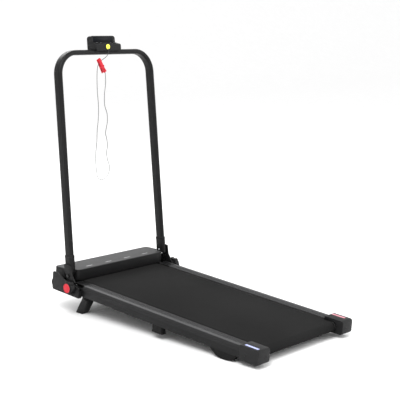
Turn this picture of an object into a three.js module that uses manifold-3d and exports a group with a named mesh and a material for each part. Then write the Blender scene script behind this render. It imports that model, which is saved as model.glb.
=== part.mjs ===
// Folding motorised treadmill, in millimetres: +Z up, +X the walker's right, +Y towards the motor.
// The walking deck is drawn in its own frame: y runs forward from the rear end, z is 0 on top of
// the foot rails. That frame is then tipped nose-up, because the incline legs are swung down.
import * as THREE from 'three';
import { mergeVertices } from 'three/addons/utils/BufferGeometryUtils.js';
import Module from 'manifold-3d';

const wasm = await Module();
wasm.setup();

// ---- driving dimensions -------------------------------------------------------------------
const GAP = 0.3; // clearance kept between pieces that touch
const NOSE_UP = THREE.MathUtils.degToRad(4.0); // slope of the deck with the incline legs down

// frame and deck
const DECK_LENGTH = 1150; // rear face of the end caps to front face of the motor hood
const TUBE_OUTER_X = 284; // outer face of each side tube
const TUBE_WIDTH = 20;
const TUBE_TOP = -12;
const TUBE_BOTTOM = -45;
const TUBE_WALL = 1.8;
const TUBE_REAR = 18; // y of the rear end of the side tubes
const TUBE_FRONT_SETBACK = 54; // side tubes stop this far behind the hood's front face
const CROSS_TUBE_DEPTH = 30;
const CROSS_TUBE_WALL = 2;
const BOARD_THICKNESS = 14.7;
const BELT_HALF_WIDTH = 218;
const BELT_THICKNESS = 1.7;
const BELT_TOP = -3;
const RAIL_INNER_X = 230;
const RAIL_OUTER_X = 274; // outer edge of the flat tread
const RAIL_SHOULDER_X = 286; // outer face of the sloping shoulder
const RAIL_SHOULDER_DROP = 10;
const RAIL_SKIRT = 19;
const RAIL_FRONT = 955; // y where the full rail section stops and only the tread goes on
const RAIL_THICKNESS = 4.7;

// rollers
const ROLLER_RADIUS = 18;
const ROLLER_WALL = 2;
const ROLLER_HALF_LENGTH = 222;
const AXLE_RADIUS = 5;
const REAR_ROLLER_Y = 50;
const FRONT_ROLLER_SETBACK = 105; // behind the hood's front face
const ROLLER_PULLEY_RADIUS = 22;
const MOTOR_PULLEY_RADIUS = 12;
const PULLEY_X = [226, 240];
const DRIVE_BELT_THICKNESS = 1.7;

// end caps and feet
const CAP_LENGTH = 90;
const CAP_X = [226, 290];
const CAP_Z = [-50, 8];
const CAP_WALL = 3;
const REAR_FOOT_Y = 170; // centre of the rocker foot's arc
const REAR_FOOT_RADIUS = 92;
const REAR_FOOT_REACH = 75; // depth of the rocker's lowest point below the rail tops
const REAR_FOOT_SPAN = [115, 238];
const MIDDLE_FOOT_Y = [488, 542];

// incline legs
const LEG_X = [226, 262];
const LEG_THICKNESS = 34;
const LEG_WALL = 2;
const LEG_PLUG = 9;
const LEG_PIVOT = [957, -58];
const LEG_RAKE = THREE.MathUtils.degToRad(27.5); // forward of square to the deck
const LEG_TUBE_RADIUS = 8;

// motor hood
const HOOD_DEPTH = 128;
const HOOD_TOP = 44; // at mid-depth: the hood's top is level with the floor, not with the deck
const HOOD_PANEL = 3.2;
const HOOD_WALL = 3.5;
const HOOD_HALF_WIDTH = 271;
const HOOD_NOTCH_X = 254; // the hood is narrower beside the handrail's feet
const HOOD_NOTCH_DEPTH = 58;
const HOOD_REAR_CORNER = 22;
const HOOD_FRONT_CORNER = 12;
const PAN_Z = [-52, -50];
const COVER_X = [297, 301];
const COVER_TOP = 28;
const COVER_BOTTOM = -51;
const COVER_FRONT_SETBACK = 22;
const COVER_REAR = 958;

// handrail and its fold
const POST_SPACING = 540; // between the posts' centre lines, at their feet
const POST_SPACING_TOP = 525;
const POST_FOOT = [1048.5, 37]; // deck y and z of the posts' feet
const POST_LEAN = THREE.MathUtils.degToRad(9.2); // forward of square to the deck
const BAR_HEIGHT = 912.7; // posts' feet to the centre of the top bar
const RAIL_TUBE_THICKNESS = 21; // side to side in the posts
const RAIL_TUBE_DEPTH = 43; // fore and aft
const BEND_RADIUS = 92;
const SOCKET_HEIGHT = 67;
const SOCKET_WALL = 1.7;
const SOCKET_CLEARANCE = 0.8;
const SOCKET_FLOOR = 3;
const FOLD_PIVOT = [1040, 24];
const LOCK_POINT = [1006, -14];
const LUG_RADIUS = 11.5;
const PLATE_X = [284.3, 290]; // the locking plate that hangs from each socket
const PIVOT_BOLT_RADIUS = 5;
const LOCK_SCREW_RADIUS = 4;
const KNOB_RADIUS = 27;
const KNOB_LOBE = 3;
const KNOB_X = [302, 322];
const KNOB_CAP_RADIUS = 21.5;
const KNOB_CAP_THICKNESS = 5;

// transport wheels
const WHEEL_RADIUS = 24;
const WHEEL_X = [268.5, 288.5];
const WHEEL_CENTRE_Z = -27;
const WHEEL_BOLT_RADIUS = 4;

// console, in the handrail's own frame with z measured from the top bar's centre
const CONSOLE_HALF_WIDTH = 70;
const CONSOLE_CORNER = 13;
const CONSOLE_WALL = 2.5;
const CONSOLE_SPLIT_Y = 17.7; // where the front and back shells meet
const CONSOLE_TOP = 70;
const CONSOLE_BOTTOM = 4; // the shells straddle the upper part of the bar
const CONSOLE_BACK_Y = 29;
const CONSOLE_FRONT_Y = -30.5;
const SLOPE_START = [-27, 33]; // front edge of the button panel
const SLOPE_END = [5, 42];
const DISPLAY_Y = 6;
const DISPLAY_X = [-56, 56];
const DISPLAY_Z = [44, 65];
const BUTTON_SIZE = [15, 11, 6];
const BUTTON_X = { stop_button: -50, start_button: -27, slower_button: 27, faster_button: 50 };
const KEY_RADIUS = 11;
const KEY_THICKNESS = 3.2;
const KEY_AT = [-6, 21]; // x and z of the key's centre
const KEY_STEM_RADIUS = 5;
const KEY_RING_WIDTH = 3.2;
const KEY_RING_PROUD = 1.6;
const KEY_RECESS = 1.5; // below the console's face

// safety cord and clip, measured from the middle of the handrail's bar
const CORD_DIAMETER = 2.4;
const CORD_STEPS = 80;
const CORD_PLANE_Y = -28.6; // the cord hangs straight down in this plane, just behind the bar
const CLIP_TAIL = [-29.4, -83.9]; // x and z of the clip's lower end
const CLIP_TILT = THREE.MathUtils.degToRad(27.7);
const CLIP_LENGTH = 64;
const CLIP_HALF_WIDTH = 9.5;
const CLIP_HINGE = 28; // from the clip's lower end to its hinge
const JAW_GAP = 1.7; // half the opening that the cord is held in

// ---- materials ------------------------------------------------------------------------------
const finish = (color, roughness, metalness) =>
  new THREE.MeshStandardMaterial({ color, roughness, metalness });
const BLACK_PAINT = finish(0x1c1c1d, 0.45, 0.35);
const BLACK_PLASTIC = finish(0x1f2021, 0.6, 0.0);
const SILVER_TREAD = finish(0x6a6b6d, 0.5, 0.4);
const BELT_RUBBER = finish(0x1b1b1b, 0.85, 0.0);
const FOOT_RUBBER = finish(0x141414, 0.9, 0.0);
const STEEL = finish(0x9a9c9e, 0.35, 1.0);
const BOARD = finish(0x3a2e24, 0.7, 0.0);
const RED_PLASTIC = finish(0xb01c22, 0.4, 0.0);
const YELLOW_PLASTIC = finish(0xe8e23a, 0.4, 0.0);
const SMOKED_GLASS = finish(0x0c0f12, 0.1, 0.0);
const CORD_GREY = finish(0x8d9094, 0.8, 0.0);

// ---- geometry helpers -------------------------------------------------------------------------
const SIDES = [['left', -1], ['right', 1]];
const AXES_X = new THREE.Matrix4().makeBasis(
  new THREE.Vector3(0, 1, 0), new THREE.Vector3(0, 0, 1), new THREE.Vector3(1, 0, 0));

const span = (side, [a, b]) => (side > 0 ? [a, b] : [-b, -a]);
const grow = ([a, b], by) => [a - by, b + by];

function solid(geometry) {
  const bare = new THREE.BufferGeometry();
  bare.setAttribute('position', geometry.getAttribute('position').clone());
  if (geometry.index) bare.setIndex(geometry.index.clone());
  const merged = mergeVertices(bare, 1e-4);
  return new wasm.Manifold(new wasm.Mesh({
    numProp: 3,
    vertProperties: new Float32Array(merged.getAttribute('position').array),
    triVerts: new Uint32Array(merged.index.array),
  }));
}

function geometryOf(manifold) {
  const mesh = manifold.getMesh();
  const geometry = new THREE.BufferGeometry();
  geometry.setAttribute('position', new THREE.BufferAttribute(new Float32Array(mesh.vertProperties), 3));
  geometry.setIndex(new THREE.BufferAttribute(new Uint32Array(mesh.triVerts), 1));
  geometry.computeVertexNormals();
  return geometry;
}

const cut = (body, ...tools) =>
  geometryOf(tools.reduce((left, tool) => left.subtract(solid(tool)), solid(body)));
const join = (...bodies) =>
  geometryOf(bodies.slice(1).reduce((left, body) => left.add(solid(body)), solid(bodies[0])));

function block([x0, x1], [y0, y1], [z0, z1]) {
  const geometry = new THREE.BoxGeometry(x1 - x0, y1 - y0, z1 - z0);
  return geometry.translate((x0 + x1) / 2, (y0 + y1) / 2, (z0 + z1) / 2);
}

function outline(points) {
  return new THREE.Shape(points.map(([a, b]) => new THREE.Vector2(a, b)));
}

// a (y, z) outline drawn out along x
function prism(shape, [x0, x1]) {
  const drawn = shape instanceof THREE.Shape ? shape : outline(shape);
  const geometry = new THREE.ExtrudeGeometry(drawn, { depth: x1 - x0, bevelEnabled: false, curveSegments: 6 });
  return geometry.applyMatrix4(AXES_X).translate(x0, 0, 0);
}

// an (x, y) outline drawn up along z
function slab(shape, [z0, z1]) {
  const geometry = new THREE.ExtrudeGeometry(shape, { depth: z1 - z0, bevelEnabled: false, curveSegments: 5 });
  return geometry.translate(0, 0, z0);
}

// a round bar along x through (y, z)
function rod(radius, [x0, x1], [y, z], segments = 24) {
  const geometry = new THREE.CylinderGeometry(radius, radius, x1 - x0, segments);
  return geometry.rotateZ(Math.PI / 2).translate((x0 + x1) / 2, y, z);
}

// a closed [radius, x] profile turned about the x axis through (y, z)
function turned(profile, [y, z], segments = 28) {
  const points = [...profile, profile[0]].map(([radius, x]) => new THREE.Vector2(radius, x));
  if (THREE.ShapeUtils.area(points) < 0) points.reverse();
  const geometry = new THREE.LatheGeometry(points, segments);
  const body = solid(geometry.rotateZ(-Math.PI / 2).translate(0, y, z));
  return geometryOf(body);
}

// the (y, z) outline of a band run round two circles, as a shape with the circles' side cut away
function bandOutline([y1, z1], r1, [y2, z2], r2, steps = 12) {
  const heading = Math.atan2(z2 - z1, y2 - y1);
  const tilt = Math.acos((r1 - r2) / Math.hypot(y2 - y1, z2 - z1));
  const points = [];
  for (let i = 0; i <= steps; i += 1) {
    const angle = heading - tilt + (2 * tilt * i) / steps;
    points.push([y2 + r2 * Math.cos(angle), z2 + r2 * Math.sin(angle)]);
  }
  for (let i = 0; i <= steps; i += 1) {
    const angle = heading + tilt + ((2 * Math.PI - 2 * tilt) * i) / steps;
    points.push([y1 + r1 * Math.cos(angle), z1 + r1 * Math.sin(angle)]);
  }
  return points;
}

function band(from, r1, to, r2, thickness, width) {
  const shape = outline(bandOutline(from, r1 + thickness, to, r2 + thickness));
  shape.holes.push(outline(bandOutline(from, r1, to, r2)));
  return prism(shape, width);
}

function add(group, name, geometry, material) {
  const mesh = new THREE.Mesh(geometry, material);
  mesh.name = name;
  group.add(mesh);
  return mesh;
}

// ---- the deck's frame -------------------------------------------------------------------------
const treadmill = new THREE.Group();
const deck = new THREE.Group();
deck.rotation.x = NOSE_UP;
treadmill.add(deck);

// The floor touches the rocker foot's arc, so its height in the deck frame follows from the arc.
const REAR_FOOT_CENTRE = [REAR_FOOT_Y, REAR_FOOT_RADIUS - REAR_FOOT_REACH];
const FLOOR_OFFSET = REAR_FOOT_RADIUS
  - (REAR_FOOT_CENTRE[0] * Math.sin(NOSE_UP) + REAR_FOOT_CENTRE[1] * Math.cos(NOSE_UP));
const floorZ = (y) => -(FLOOR_OFFSET + y * Math.sin(NOSE_UP)) / Math.cos(NOSE_UP);

const HOOD_FRONT = DECK_LENGTH;
const HOOD_REAR = HOOD_FRONT - HOOD_DEPTH;
const TUBE_INNER_X = TUBE_OUTER_X - TUBE_WIDTH;
const TUBE_FRONT = HOOD_FRONT - TUBE_FRONT_SETBACK;
const BELT_INSIDE = BELT_TOP - BELT_THICKNESS;
const ROLLER_Z = BELT_INSIDE - GAP - ROLLER_RADIUS;
const FRONT_ROLLER = [HOOD_FRONT - FRONT_ROLLER_SETBACK, ROLLER_Z];
const REAR_ROLLER = [REAR_ROLLER_Y, ROLLER_Z];
const BOARD_TOP = BELT_INSIDE - GAP;
const BOARD_BOTTOM = BOARD_TOP - BOARD_THICKNESS;
const LOWER_RUN_TOP = ROLLER_Z - ROLLER_RADIUS - GAP;
const WHEEL_AXIS = [HOOD_FRONT - WHEEL_RADIUS, WHEEL_CENTRE_Z];

function legLug() {
  const [y, z] = LEG_PIVOT;
  const radius = LEG_TUBE_RADIUS + 5;
  const shape = new THREE.Shape();
  shape.moveTo(y - radius, TUBE_BOTTOM + 6);
  shape.lineTo(y - radius, z);
  shape.absarc(y, z, radius, Math.PI, 2 * Math.PI, false);
  shape.lineTo(y + radius, TUBE_BOTTOM + 6);
  return shape;
}

// The plate on each side tube that takes both the fold's pivot bolt and the lock screw.
function hingeLug() {
  const [y, z] = FOLD_PIVOT;
  const ledge = LOCK_POINT[1] + LOCK_SCREW_RADIUS + 7;
  const shape = new THREE.Shape();
  shape.moveTo(y + LUG_RADIUS + 4, TUBE_TOP - 1);
  shape.lineTo(y + LUG_RADIUS, z);
  shape.absarc(y, z, LUG_RADIUS, 0, 1.2 * Math.PI, false);
  shape.lineTo(y - 6, z - 16);
  shape.lineTo(y - 6, ledge);
  shape.lineTo(LOCK_POINT[0] - 12, ledge);
  shape.lineTo(LOCK_POINT[0] - 18, TUBE_TOP - 1);
  return shape;
}

function sideTube(side) {
  const tube = block(span(side, [TUBE_INNER_X, TUBE_OUTER_X]), [TUBE_REAR, TUBE_FRONT], [TUBE_BOTTOM, TUBE_TOP]);
  const bore = block(span(side, [TUBE_INNER_X + TUBE_WALL, TUBE_OUTER_X - TUBE_WALL]),
    grow([TUBE_REAR, TUBE_FRONT], 5), [TUBE_BOTTOM + TUBE_WALL, TUBE_TOP - TUBE_WALL]);
  const wheelPlate = block(span(side, [TUBE_INNER_X, TUBE_INNER_X + 3.5]),
    [TUBE_FRONT - 8, WHEEL_AXIS[0] + 12], [WHEEL_CENTRE_Z - 14, WHEEL_CENTRE_Z + 14]);
  return cut(
    join(cut(tube, bore), wheelPlate, prism(hingeLug(), span(side, [TUBE_OUTER_X - 6, TUBE_OUTER_X])),
      prism(legLug(), span(side, [TUBE_INNER_X, TUBE_INNER_X + 5.5]))),
    rod(PIVOT_BOLT_RADIUS + GAP, span(side, [TUBE_OUTER_X - 8, TUBE_OUTER_X + 2]), FOLD_PIVOT),
    rod(LOCK_SCREW_RADIUS + GAP, span(side, [TUBE_OUTER_X - 8, TUBE_OUTER_X + 2]), LOCK_POINT),
    rod(LEG_TUBE_RADIUS + GAP, span(side, [TUBE_INNER_X - 2, TUBE_INNER_X + 8]), LEG_PIVOT),
    rod(WHEEL_BOLT_RADIUS + GAP, span(side, [TUBE_INNER_X - 2, TUBE_INNER_X + 6]), WHEEL_AXIS, 16),
  );
}

function crossTube(centre) {
  const reach = [-(TUBE_INNER_X - GAP), TUBE_INNER_X - GAP];
  const y = [centre - CROSS_TUBE_DEPTH / 2, centre + CROSS_TUBE_DEPTH / 2];
  const z = [LOWER_RUN_TOP + 1.3, BOARD_BOTTOM - GAP];
  return cut(block(reach, y, z), block(grow(reach, 5), grow(y, -CROSS_TUBE_WALL), grow(z, -CROSS_TUBE_WALL)));
}

for (const [name, side] of SIDES) {
  add(deck, `side_tube_${name}`, sideTube(side), BLACK_PAINT);
}
add(deck, 'rear_cross_tube', crossTube(140), BLACK_PAINT);
add(deck, 'middle_cross_tube', crossTube(515), BLACK_PAINT);
add(deck, 'front_cross_tube', crossTube(900), BLACK_PAINT);

const BOARD_REAR = CAP_LENGTH + 2;
const BOARD_FRONT = FRONT_ROLLER[0] - ROLLER_PULLEY_RADIUS - 7;
add(deck, 'deck_board', block([-(TUBE_INNER_X - 1.5), TUBE_INNER_X - 1.5], [BOARD_REAR, BOARD_FRONT],
  [BOARD_BOTTOM, BOARD_TOP]), BOARD);

add(deck, 'running_belt', band(REAR_ROLLER, ROLLER_RADIUS + GAP, FRONT_ROLLER, ROLLER_RADIUS + GAP,
  BELT_THICKNESS, [-BELT_HALF_WIDTH, BELT_HALF_WIDTH]), BELT_RUBBER);

// ---- foot rails and rear ends -------------------------------------------------------------------
function footRail(side) {
  const section = [
    [RAIL_INNER_X, -RAIL_THICKNESS], [RAIL_INNER_X, 0], [RAIL_OUTER_X, 0],
    [RAIL_SHOULDER_X, -RAIL_SHOULDER_DROP], [RAIL_SHOULDER_X, -RAIL_SKIRT],
    [TUBE_OUTER_X + GAP, -RAIL_SKIRT], [TUBE_OUTER_X + GAP, TUBE_TOP + GAP],
    [TUBE_INNER_X, TUBE_TOP + GAP], [TUBE_INNER_X, -RAIL_THICKNESS],
  ].map(([x, z]) => [side * x, z]);
  if (side < 0) section.reverse();
  const rear = CAP_LENGTH + GAP;
  const full = new THREE.ExtrudeGeometry(outline(section), { depth: RAIL_FRONT - rear, bevelEnabled: false });
  full.rotateX(Math.PI / 2).translate(0, RAIL_FRONT, 0);
  const tread = block(span(side, [RAIL_INNER_X, RAIL_OUTER_X]), [RAIL_FRONT - 1, HOOD_REAR - 4],
    [-RAIL_THICKNESS, 0]);
  return join(full, tread);
}

function endCap(side) {
  const corner = 12;
  const shape = new THREE.Shape();
  shape.moveTo(CAP_LENGTH, CAP_Z[0]);
  shape.lineTo(CAP_LENGTH, CAP_Z[1] - 1.2);
  shape.quadraticCurveTo(CAP_LENGTH, CAP_Z[1], CAP_LENGTH - 4, CAP_Z[1]);
  shape.lineTo(corner, CAP_Z[1]);
  shape.quadraticCurveTo(0, CAP_Z[1], 0, CAP_Z[1] - corner);
  shape.lineTo(0, CAP_Z[0] + corner);
  shape.quadraticCurveTo(0, CAP_Z[0] + 3, corner, CAP_Z[0]);
  const inside = [CAP_X[0] + CAP_WALL, CAP_X[1] - CAP_WALL];
  return cut(
    prism(shape, span(side, CAP_X)),
    block(span(side, inside), [TUBE_REAR - 2, CAP_LENGTH + 5], [CAP_Z[0] + CAP_WALL, CAP_Z[1] - CAP_WALL]),
    block(span(side, [CAP_X[0] - 2, CAP_X[0] + CAP_WALL + 1]), [REAR_ROLLER_Y - AXLE_RADIUS - 1, CAP_LENGTH + 5],
      [ROLLER_Z - AXLE_RADIUS - 1, ROLLER_Z + AXLE_RADIUS + 1]),
  );
}

function rearFoot(side) {
  const [y, z] = REAR_FOOT_CENTRE;
  const top = TUBE_BOTTOM - GAP;
  const angleAt = (along) => -Math.acos((along - y) / REAR_FOOT_RADIUS);
  const half = Math.sqrt(REAR_FOOT_RADIUS ** 2 - (top - z) ** 2);
  const front = Math.min(REAR_FOOT_SPAN[1], y + half - 0.5);
  const shape = new THREE.Shape();
  shape.moveTo(front, top);
  shape.lineTo(REAR_FOOT_SPAN[0], top);
  shape.absarc(y, z, REAR_FOOT_RADIUS, angleAt(REAR_FOOT_SPAN[0]), angleAt(front), false);
  const geometry = new THREE.ExtrudeGeometry(shape, {
    depth: TUBE_WIDTH + 2, bevelEnabled: false, curveSegments: 18,
  });
  return geometry.applyMatrix4(AXES_X).translate(side > 0 ? TUBE_INNER_X - 2 : -TUBE_OUTER_X, 0, 0);
}

function middleFoot(side) {
  const [y0, y1] = MIDDLE_FOOT_Y;
  const pad = 2.5; // the rubber pad is a little wider than the block above it
  const top = TUBE_BOTTOM - GAP;
  const section = [
    [y0, -REAR_FOOT_REACH], [y1, -REAR_FOOT_REACH], [y1, -REAR_FOOT_REACH + 9],
    [y1 - pad, -REAR_FOOT_REACH + 9], [y1 - pad, top], [y0 + pad, top],
    [y0 + pad, -REAR_FOOT_REACH + 9], [y0, -REAR_FOOT_REACH + 9],
  ];
  return prism(section, span(side, [TUBE_INNER_X - 6, TUBE_OUTER_X]));
}

for (const [name, side] of SIDES) {
  add(deck, `foot_rail_${name}`, footRail(side), SILVER_TREAD);
  add(deck, `rear_end_cap_${name}`, endCap(side), BLACK_PLASTIC);
  add(deck, `rear_foot_${name}`, rearFoot(side), FOOT_RUBBER);
  add(deck, `middle_foot_${name}`, middleFoot(side), FOOT_RUBBER);
}

// ---- rollers, motor and drive ---------------------------------------------------------------------
function rollerProfile(pulley) {
  const end = ROLLER_HALF_LENGTH;
  const bore = AXLE_RADIUS + GAP;
  const inner = ROLLER_RADIUS - ROLLER_WALL;
  const profile = [[bore, -end], [ROLLER_RADIUS, -end], [ROLLER_RADIUS, end]];
  if (pulley) {
    profile.push([AXLE_RADIUS + 6, end], [AXLE_RADIUS + 6, PULLEY_X[0]], [ROLLER_PULLEY_RADIUS, PULLEY_X[0]],
      [ROLLER_PULLEY_RADIUS, PULLEY_X[1]], [bore, PULLEY_X[1]]);
  } else {
    profile.push([bore, end]);
  }
  return [...profile, [bore, end - 5], [inner, end - 5], [inner, -end + 5], [bore, -end + 5]];
}

const AXLE_SPAN = [-(TUBE_INNER_X - GAP), TUBE_INNER_X - GAP];
add(deck, 'front_roller', turned(rollerProfile(true), FRONT_ROLLER), STEEL);
add(deck, 'rear_roller', turned(rollerProfile(false), REAR_ROLLER), STEEL);
add(deck, 'front_roller_axle', rod(AXLE_RADIUS, AXLE_SPAN, FRONT_ROLLER), STEEL);
add(deck, 'rear_roller_axle', rod(AXLE_RADIUS, AXLE_SPAN, REAR_ROLLER), STEEL);

const MOTOR_RADIUS = 30;
const MOTOR_X = [20, 190];
const MOTOR_AXIS = [HOOD_FRONT - 46, -6];
const MOTOR_PLATE_TOP = MOTOR_AXIS[1] - MOTOR_RADIUS - GAP;
const MOTOR_PLATE_Y = [MOTOR_AXIS[0] - 22, MOTOR_AXIS[0] + 27];
const SHAFT_RADIUS = 5;
add(deck, 'motor', turned([
  [0, MOTOR_X[0]], [MOTOR_RADIUS - 6, MOTOR_X[0]], [MOTOR_RADIUS, MOTOR_X[0] + 6],
  [MOTOR_RADIUS, MOTOR_X[1] - 6], [MOTOR_RADIUS - 6, MOTOR_X[1]], [0, MOTOR_X[1]],
], MOTOR_AXIS), BLACK_PAINT);
add(deck, 'motor_pulley', turned([
  [0, MOTOR_X[1] + GAP], [SHAFT_RADIUS, MOTOR_X[1] + GAP], [SHAFT_RADIUS, MOTOR_X[1] + 8],
  [MOTOR_RADIUS - 4, MOTOR_X[1] + 8], [MOTOR_RADIUS - 4, MOTOR_X[1] + 18], [SHAFT_RADIUS, MOTOR_X[1] + 18],
  [SHAFT_RADIUS, PULLEY_X[0]], [MOTOR_PULLEY_RADIUS, PULLEY_X[0]], [MOTOR_PULLEY_RADIUS, PULLEY_X[1]],
  [0, PULLEY_X[1]],
], MOTOR_AXIS), STEEL);
add(deck, 'drive_belt', band(FRONT_ROLLER, ROLLER_PULLEY_RADIUS + GAP, MOTOR_AXIS, MOTOR_PULLEY_RADIUS + GAP,
  DRIVE_BELT_THICKNESS, grow(PULLEY_X, -1.5)), BELT_RUBBER);
add(deck, 'motor_plate', block(AXLE_SPAN, MOTOR_PLATE_Y, [MOTOR_PLATE_TOP - 3, MOTOR_PLATE_TOP]), BLACK_PAINT);
add(deck, 'speed_controller', block([-200, -60], MOTOR_PLATE_Y,
  [MOTOR_PLATE_TOP + GAP, MOTOR_PLATE_TOP + 34]), BLACK_PLASTIC);

// ---- motor hood ---------------------------------------------------------------------------------
// The hood's plan, pulled in by inset: wide in front of the handrail's feet, narrow beside them.
function hoodPlan(inset) {
  const front = HOOD_FRONT - inset;
  const rear = HOOD_REAR + inset;
  const wide = HOOD_HALF_WIDTH - inset;
  const narrow = HOOD_NOTCH_X - inset;
  const shoulder = HOOD_REAR + HOOD_NOTCH_DEPTH + inset;
  const rearCorner = HOOD_REAR_CORNER;
  const frontCorner = HOOD_FRONT_CORNER;
  const shape = new THREE.Shape();
  shape.moveTo(-narrow + rearCorner, rear);
  shape.lineTo(narrow - rearCorner, rear);
  shape.quadraticCurveTo(narrow, rear, narrow, rear + rearCorner);
  shape.lineTo(narrow, shoulder);
  shape.lineTo(wide, shoulder);
  shape.lineTo(wide, front - frontCorner);
  shape.quadraticCurveTo(wide, front, wide - frontCorner, front);
  shape.lineTo(-wide + frontCorner, front);
  shape.quadraticCurveTo(-wide, front, -wide, front - frontCorner);
  shape.lineTo(-wide, shoulder);
  shape.lineTo(-narrow, shoulder);
  shape.lineTo(-narrow, rear + rearCorner);
  shape.quadraticCurveTo(-narrow, rear, -narrow + rearCorner, rear);
  return shape;
}

// Tips the upper ring of an upright wall or slab, so that its top stays level with the floor.
function levelTop(geometry, from) {
  const position = geometry.getAttribute('position');
  const middle = (HOOD_REAR + HOOD_FRONT) / 2;
  for (let i = 0; i < position.count; i += 1) {
    const drop = (position.getY(i) - middle) * Math.tan(NOSE_UP);
    if (position.getZ(i) > from) position.setZ(i, position.getZ(i) - drop);
  }
  return geometry;
}

const INLET = { x: [140, 168], z: [-38, -16] };
const SWITCH = { x: [186, 208], z: [-34, -18] };
const SWITCH_CLEARANCE = 1;
const APRON_X = [-(TUBE_INNER_X - 2), TUBE_INNER_X - 2];
const APRON_Y = [HOOD_FRONT - HOOD_WALL, HOOD_FRONT];
const SHELL_TOP = HOOD_TOP - HOOD_PANEL - GAP;

function hoodShell() {
  const plan = hoodPlan(0);
  plan.holes.push(hoodPlan(HOOD_WALL));
  const walls = levelTop(slab(plan, [1, SHELL_TOP]), SHELL_TOP / 2);
  const apron = block(APRON_X, APRON_Y, [PAN_Z[1] + GAP, 10]);
  return cut(
    join(walls, apron),
    block(grow(INLET.x, GAP), grow(APRON_Y, 3), grow(INLET.z, GAP)),
    block(grow(SWITCH.x, SWITCH_CLEARANCE), grow(APRON_Y, 3), grow(SWITCH.z, SWITCH_CLEARANCE)),
  );
}

add(deck, 'hood_shell', hoodShell(), BLACK_PLASTIC);
add(deck, 'hood_top', levelTop(slab(hoodPlan(0), [HOOD_TOP - HOOD_PANEL, HOOD_TOP]), 0), SILVER_TREAD);
add(deck, 'belly_pan', block([-(TUBE_INNER_X - 2), TUBE_INNER_X - 2], [HOOD_REAR, HOOD_FRONT], PAN_Z),
  BLACK_PLASTIC);
add(deck, 'power_inlet', join(
  block(INLET.x, [HOOD_FRONT - 16, HOOD_FRONT + 2], INLET.z),
  block(grow(INLET.x, 3), [HOOD_FRONT + GAP, HOOD_FRONT + 2], grow(INLET.z, 3)),
), BLACK_PLASTIC);
add(deck, 'power_switch', block(SWITCH.x, [HOOD_FRONT - 5.5, HOOD_FRONT + 2], SWITCH.z), RED_PLASTIC);

function sideCover(side) {
  const front = HOOD_FRONT - COVER_FRONT_SETBACK;
  const shape = new THREE.Shape();
  shape.moveTo(COVER_REAR, COVER_BOTTOM);
  shape.lineTo(front - 10, COVER_BOTTOM);
  shape.quadraticCurveTo(front, COVER_BOTTOM, front, COVER_BOTTOM + 14);
  shape.lineTo(front - 1, COVER_TOP - 8);
  shape.quadraticCurveTo(front - 2, COVER_TOP, front - 11, COVER_TOP);
  shape.lineTo(front - 38, COVER_TOP - 2);
  shape.quadraticCurveTo(front - 52, COVER_TOP - 5, front - 73, COVER_TOP - 18);
  shape.lineTo(COVER_REAR, -RAIL_SHOULDER_DROP + 2);
  const wall = prism(shape, span(side, COVER_X));
  const foot = block(span(side, [TUBE_OUTER_X + GAP, COVER_X[0] + 1]), [COVER_REAR, WHEEL_AXIS[0] - WHEEL_RADIUS - 4],
    [COVER_BOTTOM, COVER_BOTTOM + 3]);
  const rib = block(span(side, [TUBE_OUTER_X + GAP, COVER_X[0] + 1]), [COVER_REAR, COVER_REAR + 3],
    [COVER_BOTTOM, -RAIL_SKIRT - 2]);
  return cut(join(wall, foot, rib), rod(17, span(side, grow(COVER_X, 4)), LOCK_POINT));
}

for (const [name, side] of SIDES) {
  add(deck, `side_cover_${name}`, sideCover(side), BLACK_PLASTIC);
}

// ---- transport wheels and incline legs ------------------------------------------------------------
for (const [name, side] of SIDES) {
  const [x0, x1] = WHEEL_X;
  add(deck, `transport_wheel_${name}`, turned([
    [WHEEL_BOLT_RADIUS + GAP, x0], [WHEEL_RADIUS - 3, x0], [WHEEL_RADIUS, x0 + 3], [WHEEL_RADIUS, x1 - 3],
    [WHEEL_RADIUS - 3, x1], [WHEEL_BOLT_RADIUS + GAP, x1],
  ].map(([radius, x]) => [radius, side * x]), WHEEL_AXIS), FOOT_RUBBER);
  add(deck, `wheel_bolt_${name}`, join(
    rod(WHEEL_BOLT_RADIUS, span(side, [TUBE_INNER_X - 6, x1 + 4]), WHEEL_AXIS, 16),
    rod(WHEEL_BOLT_RADIUS + 3.5, span(side, [x1 + GAP, x1 + 4]), WHEEL_AXIS, 6),
    rod(WHEEL_BOLT_RADIUS + 3.5, span(side, [TUBE_INNER_X - 6, TUBE_INNER_X - GAP]), WHEEL_AXIS, 6),
  ), STEEL);
}

// A leg's side line crosses the floor at this distance from the pivot, measured down the leg.
function reachToFloor(offset) {
  const [y, z] = LEG_PIVOT;
  const start = [y + offset * Math.cos(LEG_RAKE), z + offset * Math.sin(LEG_RAKE)];
  const drop = Math.cos(LEG_RAKE) - Math.sin(LEG_RAKE) * Math.tan(NOSE_UP);
  return (start[1] - floorZ(start[0])) / drop;
}

function legOutline(half, top) {
  const [y, z] = LEG_PIVOT;
  const at = (across, down) => [
    y + across * Math.cos(LEG_RAKE) + down * Math.sin(LEG_RAKE),
    z + across * Math.sin(LEG_RAKE) - down * Math.cos(LEG_RAKE),
  ];
  const points = [at(half, reachToFloor(half)), at(half, -top)];
  if (top === 0) {
    for (let i = 1; i < 8; i += 1) {
      const angle = (Math.PI * i) / 8;
      points.push(at(half * Math.cos(angle), -half * Math.sin(angle)));
    }
  }
  points.push(at(-half, -top), at(-half, reachToFloor(-half)));
  return points;
}

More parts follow.
